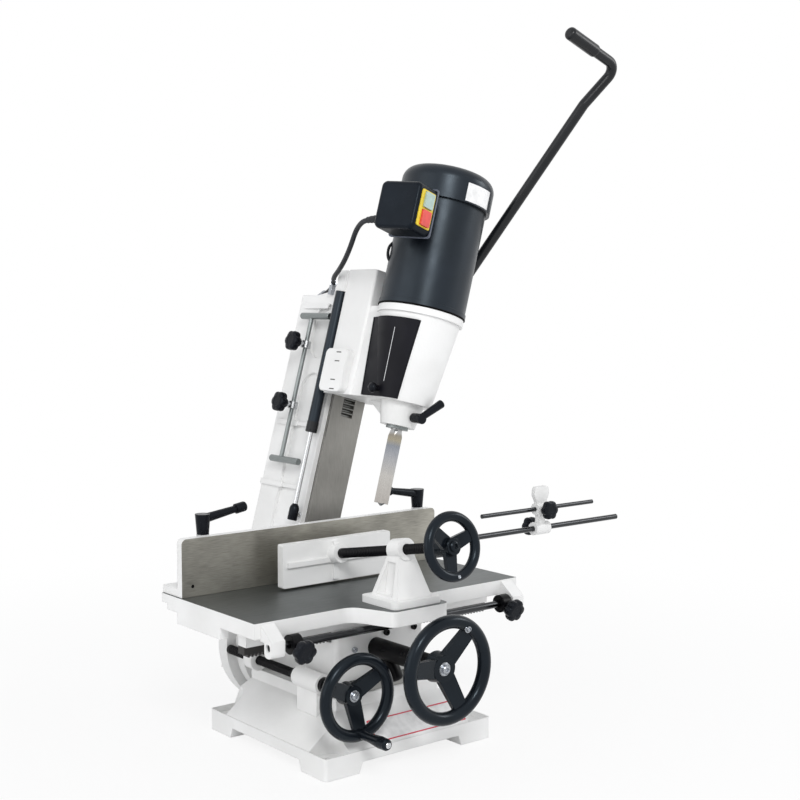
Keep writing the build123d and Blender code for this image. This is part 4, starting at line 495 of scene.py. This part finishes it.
# Dull grey for the four short slots on the lug cheek: painted shade inside them.
slot_shade_steel = bare_metal("slot_shade_steel", (0.12, 0.12, 0.118), 0.40, 0.55, (0.5, 6, 6))
rod_steel = bare_metal("rod_steel", (0.055, 0.057, 0.060), 0.16, 0.26, (0.5, 6, 6))
print("7 bright finishes, the brightest is", chrome.name)

# %% [markdown]
# ## Chisel steel
# A hollow chisel is ground on all four sides and hardened. Bands of colour run up it: beige and bright
# towards the tip, a dark bluish band, brown near the shoulder, and darker at the top. The brown is partly
# heat tint and partly painted reflection, and the darker top is painted shade under the nose. The colours
# follow the height along the leaning chisel, so the shader measures that height itself: the dot product of a
# point with the chisel's way.

# %% Colour bands along the chisel, partly painted reflection and shade
CHISEL_TIP, CHISEL_SHOULDER = 0.251, 0.377  # metres up the leaning spindle from the pivot
CHISEL_BANDS = [(0.0, (0.50, 0.47, 0.44)), (0.35, (0.60, 0.58, 0.55)), (0.62, (0.42, 0.43, 0.46)),
          (0.74, (0.31, 0.33, 0.37)), (0.82, (0.42, 0.38, 0.29)), (0.88, (0.34, 0.31, 0.26)),
          (0.92, (0.50, 0.50, 0.50)), (1.0, (0.36, 0.36, 0.36))]


def banded_chisel(name):
    """Ground steel whose colour changes with the height along the leaning spindle."""
    material, tree, shader = new_material(name, (0.5, 0.5, 0.5), 0.25, 1.0)
    place = new_node(tree, "TexCoord").outputs["Object"]
    way = (np.sin(LEAN), 0, np.cos(LEAN))
    height = new_node(tree, "VectorMath", {0: place, 1: way}, operation="DOT_PRODUCT").outputs["Value"]
    foot = PIVOT_Z / 1000 * np.cos(LEAN)
    rise = new_node(tree, "MapRange", {"Value": height, "From Min": CHISEL_TIP + foot,
                                       "From Max": CHISEL_SHOULDER + foot}).outputs[0]
    marks = noise(tree, 240.0, 4.0, (8, 8, 0.6))
    band = new_node(tree, "ValToRGB", {"Fac": rise})
    for index, (at, colour) in enumerate(CHISEL_BANDS):
        stop = band.color_ramp.elements[index] if index < 2 else band.color_ramp.elements.new(at)
        stop.position = at
        stop.color = (*colour, 1)
    worn = ramp(tree, marks, (0.8, 0.8, 0.8), (1.0, 1.0, 1.0), 0.3, 0.7)
    tone = new_node(tree, "MixRGB", {0: 1.0, 1: band.outputs[0], 2: worn}, blend_type="MULTIPLY")
    tree.links.new(tone.outputs[0], shader.inputs["Base Color"])
    tree.links.new(spread(tree, marks, 0.2, 0.34), shader.inputs["Roughness"])
    scores = bumped(tree, marks, distance=0.00006, strength=0.4, edge=0.0005)
    tree.links.new(scores, shader.inputs["Normal"])
    return material


chisel_steel = banded_chisel("chisel_steel")
# The printed bands are partly heat tint and partly painted reflection and shade.
print(len(CHISEL_BANDS), "temper colours on", chisel_steel.name)

# %% [markdown]
# ## Coloured plastic and plates
# The two push buttons are red and pale green in a yellow frame. The plates are thin enamelled
# sheet, left bare. A single flat colour would look printed, so each has a faint cloud in it and a
# soft moulded grain.


# %% Moulded colours
def moulded(name, colour, rough):
    """Coloured plastic: a faint cloud in the colour and a soft moulded grain."""
    material, tree, shader = new_material(name, colour, rough)
    tone = ramp(tree, noise(tree, 90.0), shaded(colour, 0.9), shaded(colour, 1.06))
    tree.links.new(tone, shader.inputs["Base Color"])
    grain = bumped(tree, noise(tree, 900.0), distance=0.00005, strength=0.5, edge=0.0006)
    tree.links.new(grain, shader.inputs["Normal"])
    return material


yellow_plate = moulded("yellow_plate", (0.80, 0.60, 0.03), 0.4)
red_plastic = moulded("red_plastic", (0.72, 0.07, 0.06), 0.35)
green_plastic = moulded("green_plastic", (0.42, 0.55, 0.50), 0.35)
plain_plate = moulded("plain_plate", (0.84, 0.84, 0.84), 0.38)
red_line = moulded("red_line", (0.66, 0.05, 0.08), 0.4)
print("moulded:", yellow_plate.name, red_plastic.name, green_plastic.name, plain_plate.name, red_line.name)

# %% [markdown]
# ## Finishes on the solids
# Each solid of the model keeps its shape and takes the finish of the real piece. A list for each
# finish is easier to check against the machine than a finish for each solid.

# %% Dress the solids
finishes = {
    white_enamel: ["cross_screw_bracket", "vise_plate", "vise_bracket", "head_casting", "stop_bracket"],
    table_iron: ["table"],
    fence_iron: ["fence"],
    column_iron: ["column"],
    base_iron: ["base_casting"],
    saddle_iron: ["saddle"],
    motor_lacquer: ["motor_body", "fan_cowl", "strut_cylinder"],
    lever_paint: ["feed_lever"],
    door_plastic: ["chuck_door"],
    black_steel: ["cross_screw", "pinion_sleeve", "vise_screw", "stop_collar_left",
                  "stop_collar_right", "tilt_clamp_bolts"],
    wheel_plastic: ["cross_wheel", "cross_wheel_handle", "table_wheel", "vise_wheel"],
    knob_plastic: ["stop_knob_left", "stop_knob_right", "fence_lever_left", "fence_lever_right",
                   "depth_knob_upper", "depth_knob_lower", "stop_finger_knob", "stop_bracket_knob",
                   "chisel_clamp_lever"],
    cap_steel: ["cord_clip"],
    box_plastic: ["switch_box"],
    turned_steel: ["tilt_pivot_pin", "table_pinion_shaft", "fence_clamp_studs", "depth_collar_upper",
                   "depth_collar_lower", "motor_rotor", "drill_chuck", "auger_bit", "feed_pinion_shaft"],
    # The chisel bush is in the darker bar steel: painted shade under the nose.
    bar_steel_and_bush_shade: ["depth_stop_bars", "depth_stop_rod", "chisel_bush"],
    rack_steel: ["column_rack", "saddle_gibs", "head_gib"],
    # The table's rack: painted shade under the table's front edge.
    painted_shade_rack: ["table_rack"],
    rod_steel: ["table_stop_rod", "work_stop_rod", "stop_finger_rod"],
    chrome: ["strut_rod"],
    chisel_steel: ["hollow_chisel"],
    red_plastic: ["stop_button"],
    green_plastic: ["start_button"],
    cord_rubber: ["power_cord"],
}
dressed = 0
for material, names in finishes.items():
    for name in names:
        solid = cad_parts[name]
        for place in solid.material_slots:
            place.material = material
        dressed += 1
print("dressed", dressed, "of", len(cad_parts), "solids")

# %% [markdown]
# ## The cord's line and tube
# The lead leaves the switch box through a tapered sleeve, drops behind the motor, goes over a clip
# and into the top of the column. It is one smooth line: a spline takes the corner points of the
# route as its control points, and a ring is carried along the line that Blender reads from it.
# Straight runs with rounded corners would be simpler, but a hanging lead has no straight run.

# %% Route and tube
CORD_R = 4.2
cord_route = leaned([(-120.33, 2.89, 685), (-127.58, 29.93, 685), (-114, 68, 676), (-101, 92, 649),
                     (-86, 121, 630.5), (-71, 153, 617.5), (-55, 187, 610.3), (-17, 233, 603.7),
                     (-12, 262, 593.5)])


def smooth_line(points):
    """The points of a smooth spline that takes the given points as its control points, in millimetres."""
    curve = bpy.data.curves.new("route", "CURVE")
    curve.dimensions = "3D"
    curve.resolution_u = 14
    spline = curve.splines.new("NURBS")
    spline.points.add(len(points) - 1)
    corners = np.concatenate([points / 1000, np.ones((len(points), 1))], axis=1)
    spline.points.foreach_set("co", corners.ravel())
    spline.order_u = 3
    spline.use_endpoint_u = True
    holder = bpy.data.objects.new("route", curve)
    scene.collection.objects.link(holder)
    bpy.context.view_layer.update()
    mesh = bpy.data.meshes.new_from_object(holder)
    line = np.zeros(len(mesh.vertices) * 3)
    mesh.vertices.foreach_get("co", line)
    bpy.data.objects.remove(holder)
    bpy.data.curves.remove(curve)
    bpy.data.meshes.remove(mesh)
    return line.reshape(-1, 3) * 1000


def tube(line, radius, theta=ROUND[::3]):
    """A ring carried along a line; each ring stands square to the line and the ends are closed."""
    ways = np.gradient(line, axis=0)
    ways /= np.linalg.norm(ways, axis=1)[:, None]
    side = np.cross(ways, (0.31, 0.27, 0.91))
    side /= np.linalg.norm(side, axis=1)[:, None]
    other = np.cross(ways, side)
    radius = np.broadcast_to(radius, len(line))[:, None, None]
    ring = np.cos(theta)[None, :, None] * side[:, None] + np.sin(theta)[None, :, None] * other[:, None]
    wall = line[:, None] + radius * ring
    ends = np.repeat(line[[0, -1]][:, None], len(theta), axis=1)
    return np.concatenate([ends[:1], wall, ends[1:]])


cord_line = smooth_line(cord_route)

# %% [markdown]
# ## Lead and sleeve
# The lead runs from the box on the head to the clip on the column. It is one piece that rides no body, so it
# stays where it is drawn when the head moves. The sleeve keeps the rubber from breaking where it leaves the
# box. Its rings are a cosine added to a falling radius, which gives five soft ribs without any extra pieces.

# %% Power lead
SLEEVE_LENGTH = 26.0
SLEEVE_R, SLEEVE_TAPER = 6.9, 2.0
RIB_HEIGHT, RIBS = 0.45, 5

cord = piece("power_lead", [tube(cord_line, CORD_R)], cord_rubber, None)
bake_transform(cord)
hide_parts("power_cord")
sleeve_part = cord_line[np.linalg.norm(cord_line - cord_line[0], axis=1) < SLEEVE_LENGTH]
along = np.linspace(0, 1, len(sleeve_part))
sleeve_r = SLEEVE_R - SLEEVE_TAPER * along + RIB_HEIGHT * np.cos(along * 2 * np.pi * RIBS)
sleeve = piece("cord_sleeve", [tube(sleeve_part, sleeve_r)], cord_rubber, "head")
print("lead", 2 * CORD_R, "mm thick, with a sleeve of", RIBS, "ribs")

# %% [markdown]
# ## Threads
# A screw thread is a groove that winds round the rod. It could be a swept profile, but a function
# of two parameters is shorter and exact: the radius at a point depends only on how far its place
# along the rod and its angle are out of step. The plain ends of a screw are turned steps.

# %% Thread and turned steps
THREAD_PITCH = 4.0


def threaded(radius, depth, start, end, columns=24, steps=8):
    """Rod from start to end with a V groove: radius - depth |2 (s / pitch + angle / turn mod 1) - 1|."""
    theta = np.linspace(0, 2 * np.pi, columns, endpoint=False)
    along = np.linspace(start, end, int((end - start) / THREAD_PITCH * steps))
    phase = np.mod(along[:, None] / THREAD_PITCH + theta / (2 * np.pi), 1.0)
    fade = np.clip(np.minimum(along - start, end - along) / THREAD_PITCH, 0, 1)[:, None]
    r = radius - depth * fade * np.abs(2 * phase - 1)
    return np.stack([r * np.cos(theta), r * np.sin(theta), np.broadcast_to(along[:, None], r.shape)], axis=-1)


def stepped(rows):
    """A turned profile of (radius, height) pairs, closed by a point on the axis at both ends."""
    return spun([(0.0, rows[0][1]), *rows, (0.0, rows[-1][1])], ROUND[::2])


print("threads of pitch", THREAD_PITCH, "mm")

# %% [markdown]
# ## Feed screws
# The vise screw slopes down to its plate and turns in it on a thin neck. The cross screw runs
# level, with two collars that hold it in its bearing bracket. Each threaded screw replaces the
# plain rod of the model.

# %% Vise screw and cross screw
VISE_SLOPE = np.radians(10.5)
VISE_WAY = unit((0, -np.cos(VISE_SLOPE), np.sin(VISE_SLOPE)))
VISE_ROOT = np.array((-10.0, 22.0, 285.0))
VISE_R, NECK_R, VISE_END = 8.0, 6.0, 288.0
CROSS_ROOT = np.array((-106.0, 0.0, 115.0))
CROSS_R, COLLAR_R, CROSS_FRONT = 7.5, 11.5, -155.0

vise_parts = [stepped([(NECK_R, -3.5), (NECK_R, 18.3), (VISE_R, 18.3), (VISE_R, 24.0)]),
              threaded(VISE_R, 1.3, 24.0, 246.0),
              stepped([(VISE_R, 246.0), (VISE_R, VISE_END)])]
vise_thread = piece("vise_thread", [placed(part, VISE_ROOT, VISE_WAY) for part in vise_parts],
                    black_steel, "vise_screw")
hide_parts("vise_screw")
cross_parts = [stepped([(CROSS_R, CROSS_FRONT), (CROSS_R, -87.0), (COLLAR_R, -87.0), (COLLAR_R, -79.3),
                        (CROSS_R, -79.3), (CROSS_R, -14.7), (COLLAR_R, -14.7), (COLLAR_R, -8.0),
                        (CROSS_R, -8.0), (CROSS_R, -3.0)]),
               threaded(CROSS_R, 1.2, -3.0, 176.0),
               stepped([(CROSS_R, 176.0), (CROSS_R, 180.5), (6.0, 182.0)])]
cross_thread = piece("cross_thread", [placed(part, CROSS_ROOT, (0, 1, 0)) for part in cross_parts],
                     black_steel, "cross_screw")
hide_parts("cross_screw")
print("threads:", len(vise_thread.data.polygons), "and", len(cross_thread.data.polygons), "faces")

# %% [markdown]
# ## Star knobs
# Six moulded knobs clamp the stops. A star knob is a turned shape whose radius swells in six lobes.
# A cosine with its sign dropped gives round lobes with a sharp valley between them, which is how
# the mould parts are cut. Each knob turns on a short bright stud that shows below its neck.

# %% Six star knobs
LOBE_R, LOBE_DIP = 17.8, 2.7
LOBE = LOBE_R - LOBE_DIP * (1 - np.abs(np.cos(3 * ROUND)))
SHORT_NECK, LONG_NECK = 7.0, 13.0
STOP_COLLAR_R = 14.3
STOP_DIP = np.radians(14)
STOP_WAY = np.array((0, -np.cos(STOP_DIP), -np.sin(STOP_DIP)))


def star(neck):
    """Knob about local z: tapered neck that ends at height neck, then six lobes, 13 mm thick and rounded."""
    low = neck - SHORT_NECK
    return spun([(0.0, low), (7.4, low), (8.0, low + 3.0), (10.0, low + 6.6), (LOBE * 0.84, low + 7.0),
                 (LOBE * 0.95, low + 8.0), (LOBE, low + 10.4), (LOBE, low + 16.2), (LOBE * 0.96, low + 18.4),
                 (LOBE * 0.84, low + 19.8), (9.0, low + 20.0), (8.4, low + 19.3), (0.0, low + 19.3)])


knobs = {
    "stop_knob_left": (np.array((-203, -143, 205.5)) + STOP_COLLAR_R * STOP_WAY, STOP_WAY, SHORT_NECK),
    "stop_knob_right": (np.array((197, -143, 205.5)) + STOP_COLLAR_R * STOP_WAY, STOP_WAY, SHORT_NECK),
    "stop_finger_knob": ((505, 71.7, 298), (0, -1, 0), SHORT_NECK),
    "stop_bracket_knob": ((505, 95.3, 262), (0, 1, 0), SHORT_NECK),
    "depth_knob_upper": ((-54.8, 237, 494), (-1, 0, 0), LONG_NECK),
    "depth_knob_lower": ((-54.8, 237, 387), (-1, 0, 0), LONG_NECK),
}
for node, (root, way, neck) in knobs.items():
    upright = node.startswith("depth")
    local = placed(star(neck), root, way)
    knob = piece(node.replace("knob", "star"), [leaned(local) if upright else local], knob_plastic, node)
    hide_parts(node)
    stud = placed(stepped([(4.0, -4.5), (4.0, neck - 6.5)]), root, way)
    piece(node.replace("knob", "stud"), [leaned(stud) if upright else stud], chrome, node)
print(len(knobs), "star knobs, lobes from", LOBE.min().round(1), "to", LOBE.max(), "mm")

# %% [markdown]
# ## Screws and caps
# Small bright screws hold the handwheels on their shafts and the strips in the slides. A socket
# screw is a turned head with a six-sided hole: the hole's radius follows the straight sides of a
# hexagon round the axis. Cutting the hole with a Boolean would work too, but it leaves long thin
# faces in the head.


# %% Socket screws and wheel caps
def hexagon(inner):
    """Radius of a hexagon with flats at a distance: inner / cos of the angle to the nearest flat."""
    return inner / np.cos(np.mod(ROUND, np.pi / 3) - np.pi / 6)


def socket_screw(radius, height):
    """Head about local z that stands on height 0, with a chamfered rim and a hexagon hole."""
    hole = hexagon(radius * 0.46)
    return spun([(0.0, -0.4), (radius, -0.4), (radius, height - 0.7), (radius - 0.7, height), (hole, height),
                 (hole, height * 0.45), (0.0, height * 0.45)])


def wheel_cap(washer, radius, height):
    """A washer with a rounded screw head on it, with a hexagon hole."""
    hole = hexagon(radius * 0.42)
    return spun([(0.0, -0.3), (washer, -0.3), (washer, 1.2), (washer - 0.5, 1.6), (radius, 1.6),
                 (radius, height - 1.5), (radius * 0.8, height - 0.2), (hole, height), (hole, height - 2.5),
                 (0.0, height - 2.5)])


TO_FRONT = (0, -1, 0)
SADDLE_FRONT = -82
VISE_RIM_R, VISE_RIM_FACE = 43, 292  # the stud's place on the vise wheel's rim
VISE_LOW = np.cross(VISE_WAY, (1, 0, 0))
VISE_DOWN = unit(VISE_LOW * np.sign(-VISE_LOW[2]))
VISE_STUD = VISE_ROOT + VISE_RIM_FACE * VISE_WAY + VISE_RIM_R * VISE_DOWN
bright_screws = {
    "cross_wheel_cap": (wheel_cap(8.6, 6.0, 5.5), CROSS_ROOT + (0, CROSS_FRONT, 0), TO_FRONT, "cross_screw"),
    "table_wheel_cap": (wheel_cap(9.6, 6.6, 6.0), (-10, -243, 157), TO_FRONT, "table_wheel"),
    "table_wheel_stud": (wheel_cap(6.0, 4.2, 4.5), (20.7, -257.6, 214), TO_FRONT, "table_wheel"),
    "vise_wheel_stud": (socket_screw(2.6, 2.4), VISE_STUD, VISE_WAY, "vise_screw"),
    "saddle_screw_steel": (socket_screw(4.6, 4.0), (-51, SADDLE_FRONT, 159), TO_FRONT, "saddle"),
}
for name, (shape, root, way, body) in bright_screws.items():
    piece(name, [placed(shape, root, way)], cap_steel, body)
print(len(bright_screws), "bright screws")

# %% [markdown]
# ## Screws of the handle, the gib and the hub
# The revolving handle turns on a screw whose head shows at its end. Two dark screws press the gib
# of the saddle, and a plain moulded cap closes the hub of the vise wheel. They use the same two
# turned shapes.

# %% Handle screw, gib screws and hub cap
HANDLE_RING = 53.0  # from the cross screw to the handle
HANDLE_ANGLE = np.radians(-88)
HANDLE_END = -231  # front end of the handle

handle_end = (CROSS_ROOT[0] + HANDLE_RING * np.cos(HANDLE_ANGLE), HANDLE_END,
              CROSS_ROOT[2] + HANDLE_RING * np.sin(HANDLE_ANGLE))
piece("handle_screw", [placed(socket_screw(4.4, 1.6), handle_end, TO_FRONT)], chrome, "cross_handle")
gib_heads = [placed(socket_screw(5.0, 4.5), (x, SADDLE_FRONT, z), TO_FRONT)
             for x, z in ((10, 176.6), (64, 177.5))]
piece("saddle_gib_screws", gib_heads, black_steel, "saddle")
hub_cap = placed(wheel_cap(12.5, 8.0, 5.0), VISE_ROOT + VISE_END * VISE_WAY, VISE_WAY)
piece("vise_hub_cap", [hub_cap], wheel_plastic, "vise_screw")
print("one handle screw,", len(gib_heads), "gib screws, one hub cap")

# %% [markdown]
# ## Flat plates and frames
# Several thin pieces are flat with rounded corners: a switch frame, plates, slots, a cheek and
# ribs. They could be boxes, but a closed grid with rounded corners keeps the thin edge that catches
# the light. One outline goes round the plate, and copies of it at several heights make the walls.


# %% Outlines, sheets and borders
def rounded(half_x, half_y, corner, shift=(0, 0)):
    """Outline of a rounded rectangle: corner centre by the signs of cosine and sine, plus a small circle."""
    c, s = np.cos(ROUND + 0.01), np.sin(ROUND + 0.01)
    return np.stack([np.sign(c) * (half_x - corner) + corner * c + shift[0],
                     np.sign(s) * (half_y - corner) + corner * s + shift[1]], axis=-1)


def layers(rows):
    """Stack outlines at heights into one grid: each row is an outline (x, y) and its local z."""
    return np.stack([np.concatenate([line, np.full((len(line), 1), z)], axis=1) for line, z in rows])


def sheet(outline, thick, edge=0.25):
    """A flat plate: closed below, rounded at its upper edge."""
    middle = np.broadcast_to(outline.mean(axis=0), outline.shape)
    inner = middle + (outline - middle) * (1 - edge / np.abs(outline - middle).max())
    return layers([(middle, -0.1), (outline, -0.1), (outline, thick - edge), (inner, thick), (middle, thick)])


def border(outer, inner, thick):
    """A flat frame between two outlines, closed all round."""
    return layers([(inner, -0.1), (outer, -0.1), (outer, thick), (inner, thick), (inner, -0.1)])


print("helpers for flat pieces:", sheet.__name__, "and", border.__name__)

# %% [markdown]
# ## Switch frame and lid rim
# A yellow frame with a bar across its middle surrounds the two buttons, and a rim runs round the lid of the
# box. The rim is the lid's lip, and its paler colour is painted highlight along the lid's edge. The box sits
# askew on the motor, so its trim is written square to the box and then turned, lifted and leaned with it.

# %% Trim of the switch box
BOX_TURN = np.radians(15.0)
BOX_SHIFT = 20.0
BOX_HEIGHT = 701.0
FRAME_THICK = 1.6


def boxed(points):
    """Points of the switch box (outward -x, operator -y) turned and lifted on to the motor, then leaned."""
    x, y, z = np.moveaxis(np.asarray(points, float), -1, 0)
    y = y - BOX_SHIFT
    return leaned(np.stack([x * np.cos(BOX_TURN) - y * np.sin(BOX_TURN),
                            SPINDLE_Y + x * np.sin(BOX_TURN) + y * np.cos(BOX_TURN),
                            z + BOX_HEIGHT], axis=-1))


button_face = ((-124, -38, 0), TO_FRONT)
frame_outer = rounded(17.6, 28.5, 3.0, (-1.0, 0))
frame_inner = rounded(11.35, 26.35, 1.0)
cross_bar = rounded(11.6, 1.6, 0.3)
piece("switch_frame", [boxed(placed(border(frame_outer, frame_inner, FRAME_THICK), *button_face)),
                       boxed(placed(sheet(cross_bar, FRAME_THICK), *button_face))],
      yellow_plate, "head", smooth=20)
# The rim is the lid's lip, and its paler colour is painted highlight.
lid_rim = border(rounded(39.4, 39.4, 5.0), rounded(37.0, 37.0, 4.0), 2.8)
piece("switch_box_rim", [boxed(placed(lid_rim, (-100.3, 0, 0), (-1, 0, 0)))], rim_highlight_plastic, "head", smooth=20)
print("switch frame and lid rim, turned", np.degrees(BOX_TURN).round(1), "degrees")

# %% [markdown]
# ## Base plate
# A thin bare plate with a red line sits on the front slope of the base. The line could be painted
# in the shader, but a low frame of its own stays sharp from near by.

# %% Plate on the base
PLATE_HALF_X, PLATE_HALF_Y = 86.5, 19.5
SLOPE_WAY, SLOPE_UP = unit((0, -45, 55)), unit((0, 55, 45))

base_plate_place = (np.array((26.5, -136.5, 48.14)), SLOPE_WAY, SLOPE_UP)
base_sheet = sheet(rounded(PLATE_HALF_X, PLATE_HALF_Y, 2.0), 0.7)
piece("base_plate", [placed(base_sheet, *base_plate_place)], plain_plate, "base", smooth=20)
base_line = border(rounded(86.3, 19.3, 2.0), rounded(84.3, 17.3, 1.0), 0.95)
piece("base_plate_line", [placed(base_line, *base_plate_place)], red_line, "base", smooth=20)
print("base plate of", 2 * PLATE_HALF_X, "by", 2 * PLATE_HALF_Y, "mm")

# %% [markdown]
# ## Cowl plate
# A second bare plate is bent round the fan cowl. It is a grid of angle and height at one radius, so
# it follows the drum exactly. A flat plate with a bend on it would stand off at its edges.

# %% Plate on the cowl
COWL_R = 76.0
SUNK = 0.15  # how deep the plate's rim reaches into the drum


def wrapped(radius, thick, angles, heights):
    """A plate bent round the spindle axis: angle and height on a grid, with walls down to the drum."""
    a = np.radians(np.concatenate([angles[:1], angles, angles[-1:]]))
    z = np.concatenate([heights[:1], heights, heights[-1:]])[:, None]
    lift = np.full((len(z), len(a)), thick)
    lift[[0, -1]] = -SUNK
    lift[:, [0, -1]] = -SUNK
    skins = (radius + lift, np.full(lift.shape, radius - SUNK))
    return [leaned(np.stack([r * np.cos(a), SPINDLE_Y + r * np.sin(a), np.broadcast_to(z, r.shape)], axis=-1))
            for r in skins]


cowl_plate = wrapped(COWL_R, 0.5, np.linspace(-105, -66, 25), np.linspace(744.5, 774.0, 5))
piece("cowl_plate", cowl_plate, plain_plate, "head", wrap=False, smooth=20)
print("cowl plate on a drum of radius", COWL_R, "mm")

# %% [markdown]
# ## Cowl slots and gasket
# The fan draws air through a ring of slots in the top of the cowl, and a dark gasket closes the joint under
# the motor. The slots are thin dark inlays that paint the shade inside them, because the cowl's own mesh
# stays as it is. The gasket is a turned ring with a rounded rim, and its near-black is its own colour.

# %% Slots and gasket
SLOT_STEP = 15  # degrees
SLOT_RING = 38
COWL_TOP = 798.0

slot_grid = sheet(rounded(1.7, 9.0, 1.6), 0.35, 0.15)
slots = []
for angle in np.radians(np.arange(0, 360, SLOT_STEP)):
    way = np.array((np.cos(angle), np.sin(angle), 0.0))
    root = np.array((0, SPINDLE_Y, COWL_TOP)) + SLOT_RING * way
    slots.append(leaned(placed(slot_grid, root, (0, 0, 1), way)))
# Dark inlays that paint the shade inside the slots.
piece("cowl_slots", slots, hole_shade_and_gasket, "head", smooth=20)
gasket = spun([(69.0, 564.0), (70.8, 564.2), (71.9, 565.2), (71.9, 566.6), (71.4, 567.2), (69.0, 567.2),
               (69.0, 564.0)])
piece("motor_gasket", [leaned(gasket + (0, SPINDLE_Y, 0))], hole_shade_and_gasket, "head")
print(len(slots), "cowl slots and a gasket")

# %% [markdown]
# ## Chuck door
# The small door over the chuck has a ball knob, and a painted highlight runs as a bright line along the fold
# of its sheet.
# The knob is turned about the way that stands square to the sloping door, and the line is a thin
# tube along the fold.

# %% Door knob and painted highlight on the fold
DOOR_WAY = unit((-1, 0.06, -0.136))
ball = stepped([(4.5, -1.5), (4.5, 5.0), (6.4, 6.0), (8.0, 8.6), (8.3, 11.6), (7.2, 14.6), (4.4, 16.8),
                (1.5, 17.6)])
piece("door_knob", [leaned(placed(ball, (-52.2, 5, 428), DOOR_WAY))], knob_plastic, "chuck_door")
fold = np.linspace((-62.6, -18, 526), (-53.3, -7, 440), 9)
# A thin chrome tube along the fold paints its highlight.
piece("door_fold_highlight", [tube(leaned(fold), 0.6)], chrome, "chuck_door")
print("door knob and a fold line of", len(fold), "points")

# %% [markdown]
# ## Strut fittings and motor loop
# The gas strut ends in a moulded cap on the column and has a gland where its rod enters the
# cylinder. Both are turned about the strut's axis. A short loop of cable stands out beside the
# motor, made like the lead.

# %% Strut cap, gland and cable loop
STRUT = (-46, 167, 0)  # where the strut's axis stands

foot = stepped([(7.3, 194.5), (8.2, 196.0), (8.2, 214.0), (7.4, 217.5), (5.4, 221.0), (4.3, 222.5)])
piece("strut_foot_cap", [leaned(foot + STRUT)], knob_plastic, "column")
loop = smooth_line(leaned([(-54, 40, 670), (-61, 42, 663), (-64, 40, 650), (-62, 37, 637), (-54, 34, 632)]))
piece("motor_loop", [tube(loop, 2.4)], cord_rubber, "head")
gland = spun([(4.6, 344.4), (8.8, 344.4), (9.9, 345.4), (9.9, 362.4), (9.3, 363.2), (4.6, 363.2),
              (4.6, 344.4)])
piece("strut_gland", [leaned(gland + STRUT)], lever_paint, "head")
print("strut cap, gland and a loop of", len(loop), "points")

# %% [markdown]
# ## Cheek, ribs and slot marks
# The head's side lug carries a cheek that hides the strut, with four short slots in it. Each slot is a thin
# grey strip on the cheek that paints the shade inside it. Three low ribs were cast on the column's left side
# to stiffen it. All are thick sheets with a rounded edge, as the pattern maker would have cut them from
# board.

# %% Cast details on the left side
TO_LEFT = (-1, 0, 0)
COLUMN_LEFT = -33
RIB_THICK = 3.2

cheek = sheet(rounded(29.7, 36.2, 9.0), 6.3, 1.2)
piece("lug_cheek", [leaned(placed(cheek, (-56, 121.3, 451), TO_LEFT))], white_enamel, "head")
ribs = [leaned(placed(sheet(rounded(half, 5.0, 2.5), RIB_THICK, 1.0), (COLUMN_LEFT, y, z), TO_LEFT))
        for half, y, z in ((33, 267, 250), (31, 258, 358), (34, 246, 566))]
piece("column_ribs", ribs, white_enamel, "column")
mark = sheet(rounded(6.5, 0.9, 0.8), 0.2, 0.1)
marks = [leaned(placed(mark, (-62.25, y, z), TO_LEFT))
         for y, z in ((115, 481), (115, 466), (116, 434.5), (114, 419))]
# Thin grey strips that paint the shade inside the slots.
piece("lug_marks", marks, slot_shade_steel, "head", smooth=20)
print("cheek with", len(marks), "slots,", len(ribs), "ribs")

# %% [markdown]
# ## Lock handle and pin hole
# A black lock handle hangs below the feed sleeve, and the fence has one small hole for a pin. The handle is a
# tube along a bent line that swells towards its rounded end. The hole is a dark disc that paints the shade
# inside it, because the fence keeps its mesh.

# %% Lock handle and pin hole
LOCK_R, LOCK_SWELL = 11.0, 2.5

lock_line = smooth_line(np.array([(-5.0, -96, 150), (-4, -106, 138), (-1, -114, 122), (1, -118, 110)]))
lock_r = LOCK_R + LOCK_SWELL * np.sqrt(np.linspace(0, 1, len(lock_line)))
lock_r[-4:] *= (0.97, 0.9, 0.78, 0.55)
piece("saddle_lock", [tube(lock_line, lock_r)], black_steel, "saddle")
# A dark disc that paints the shade inside the pin hole.
pin_hole = spun([(0.0, -0.3), (2.6, -0.3), (2.6, 0.15), (0.0, 0.15)])
piece("fence_pin_hole", [placed(pin_hole, (-235.7, 76, 254.4), TO_FRONT)], hole_shade_and_gasket, "fence")
print("lock handle up to", lock_r.max().round(1), "mm in radius, and a pin hole")
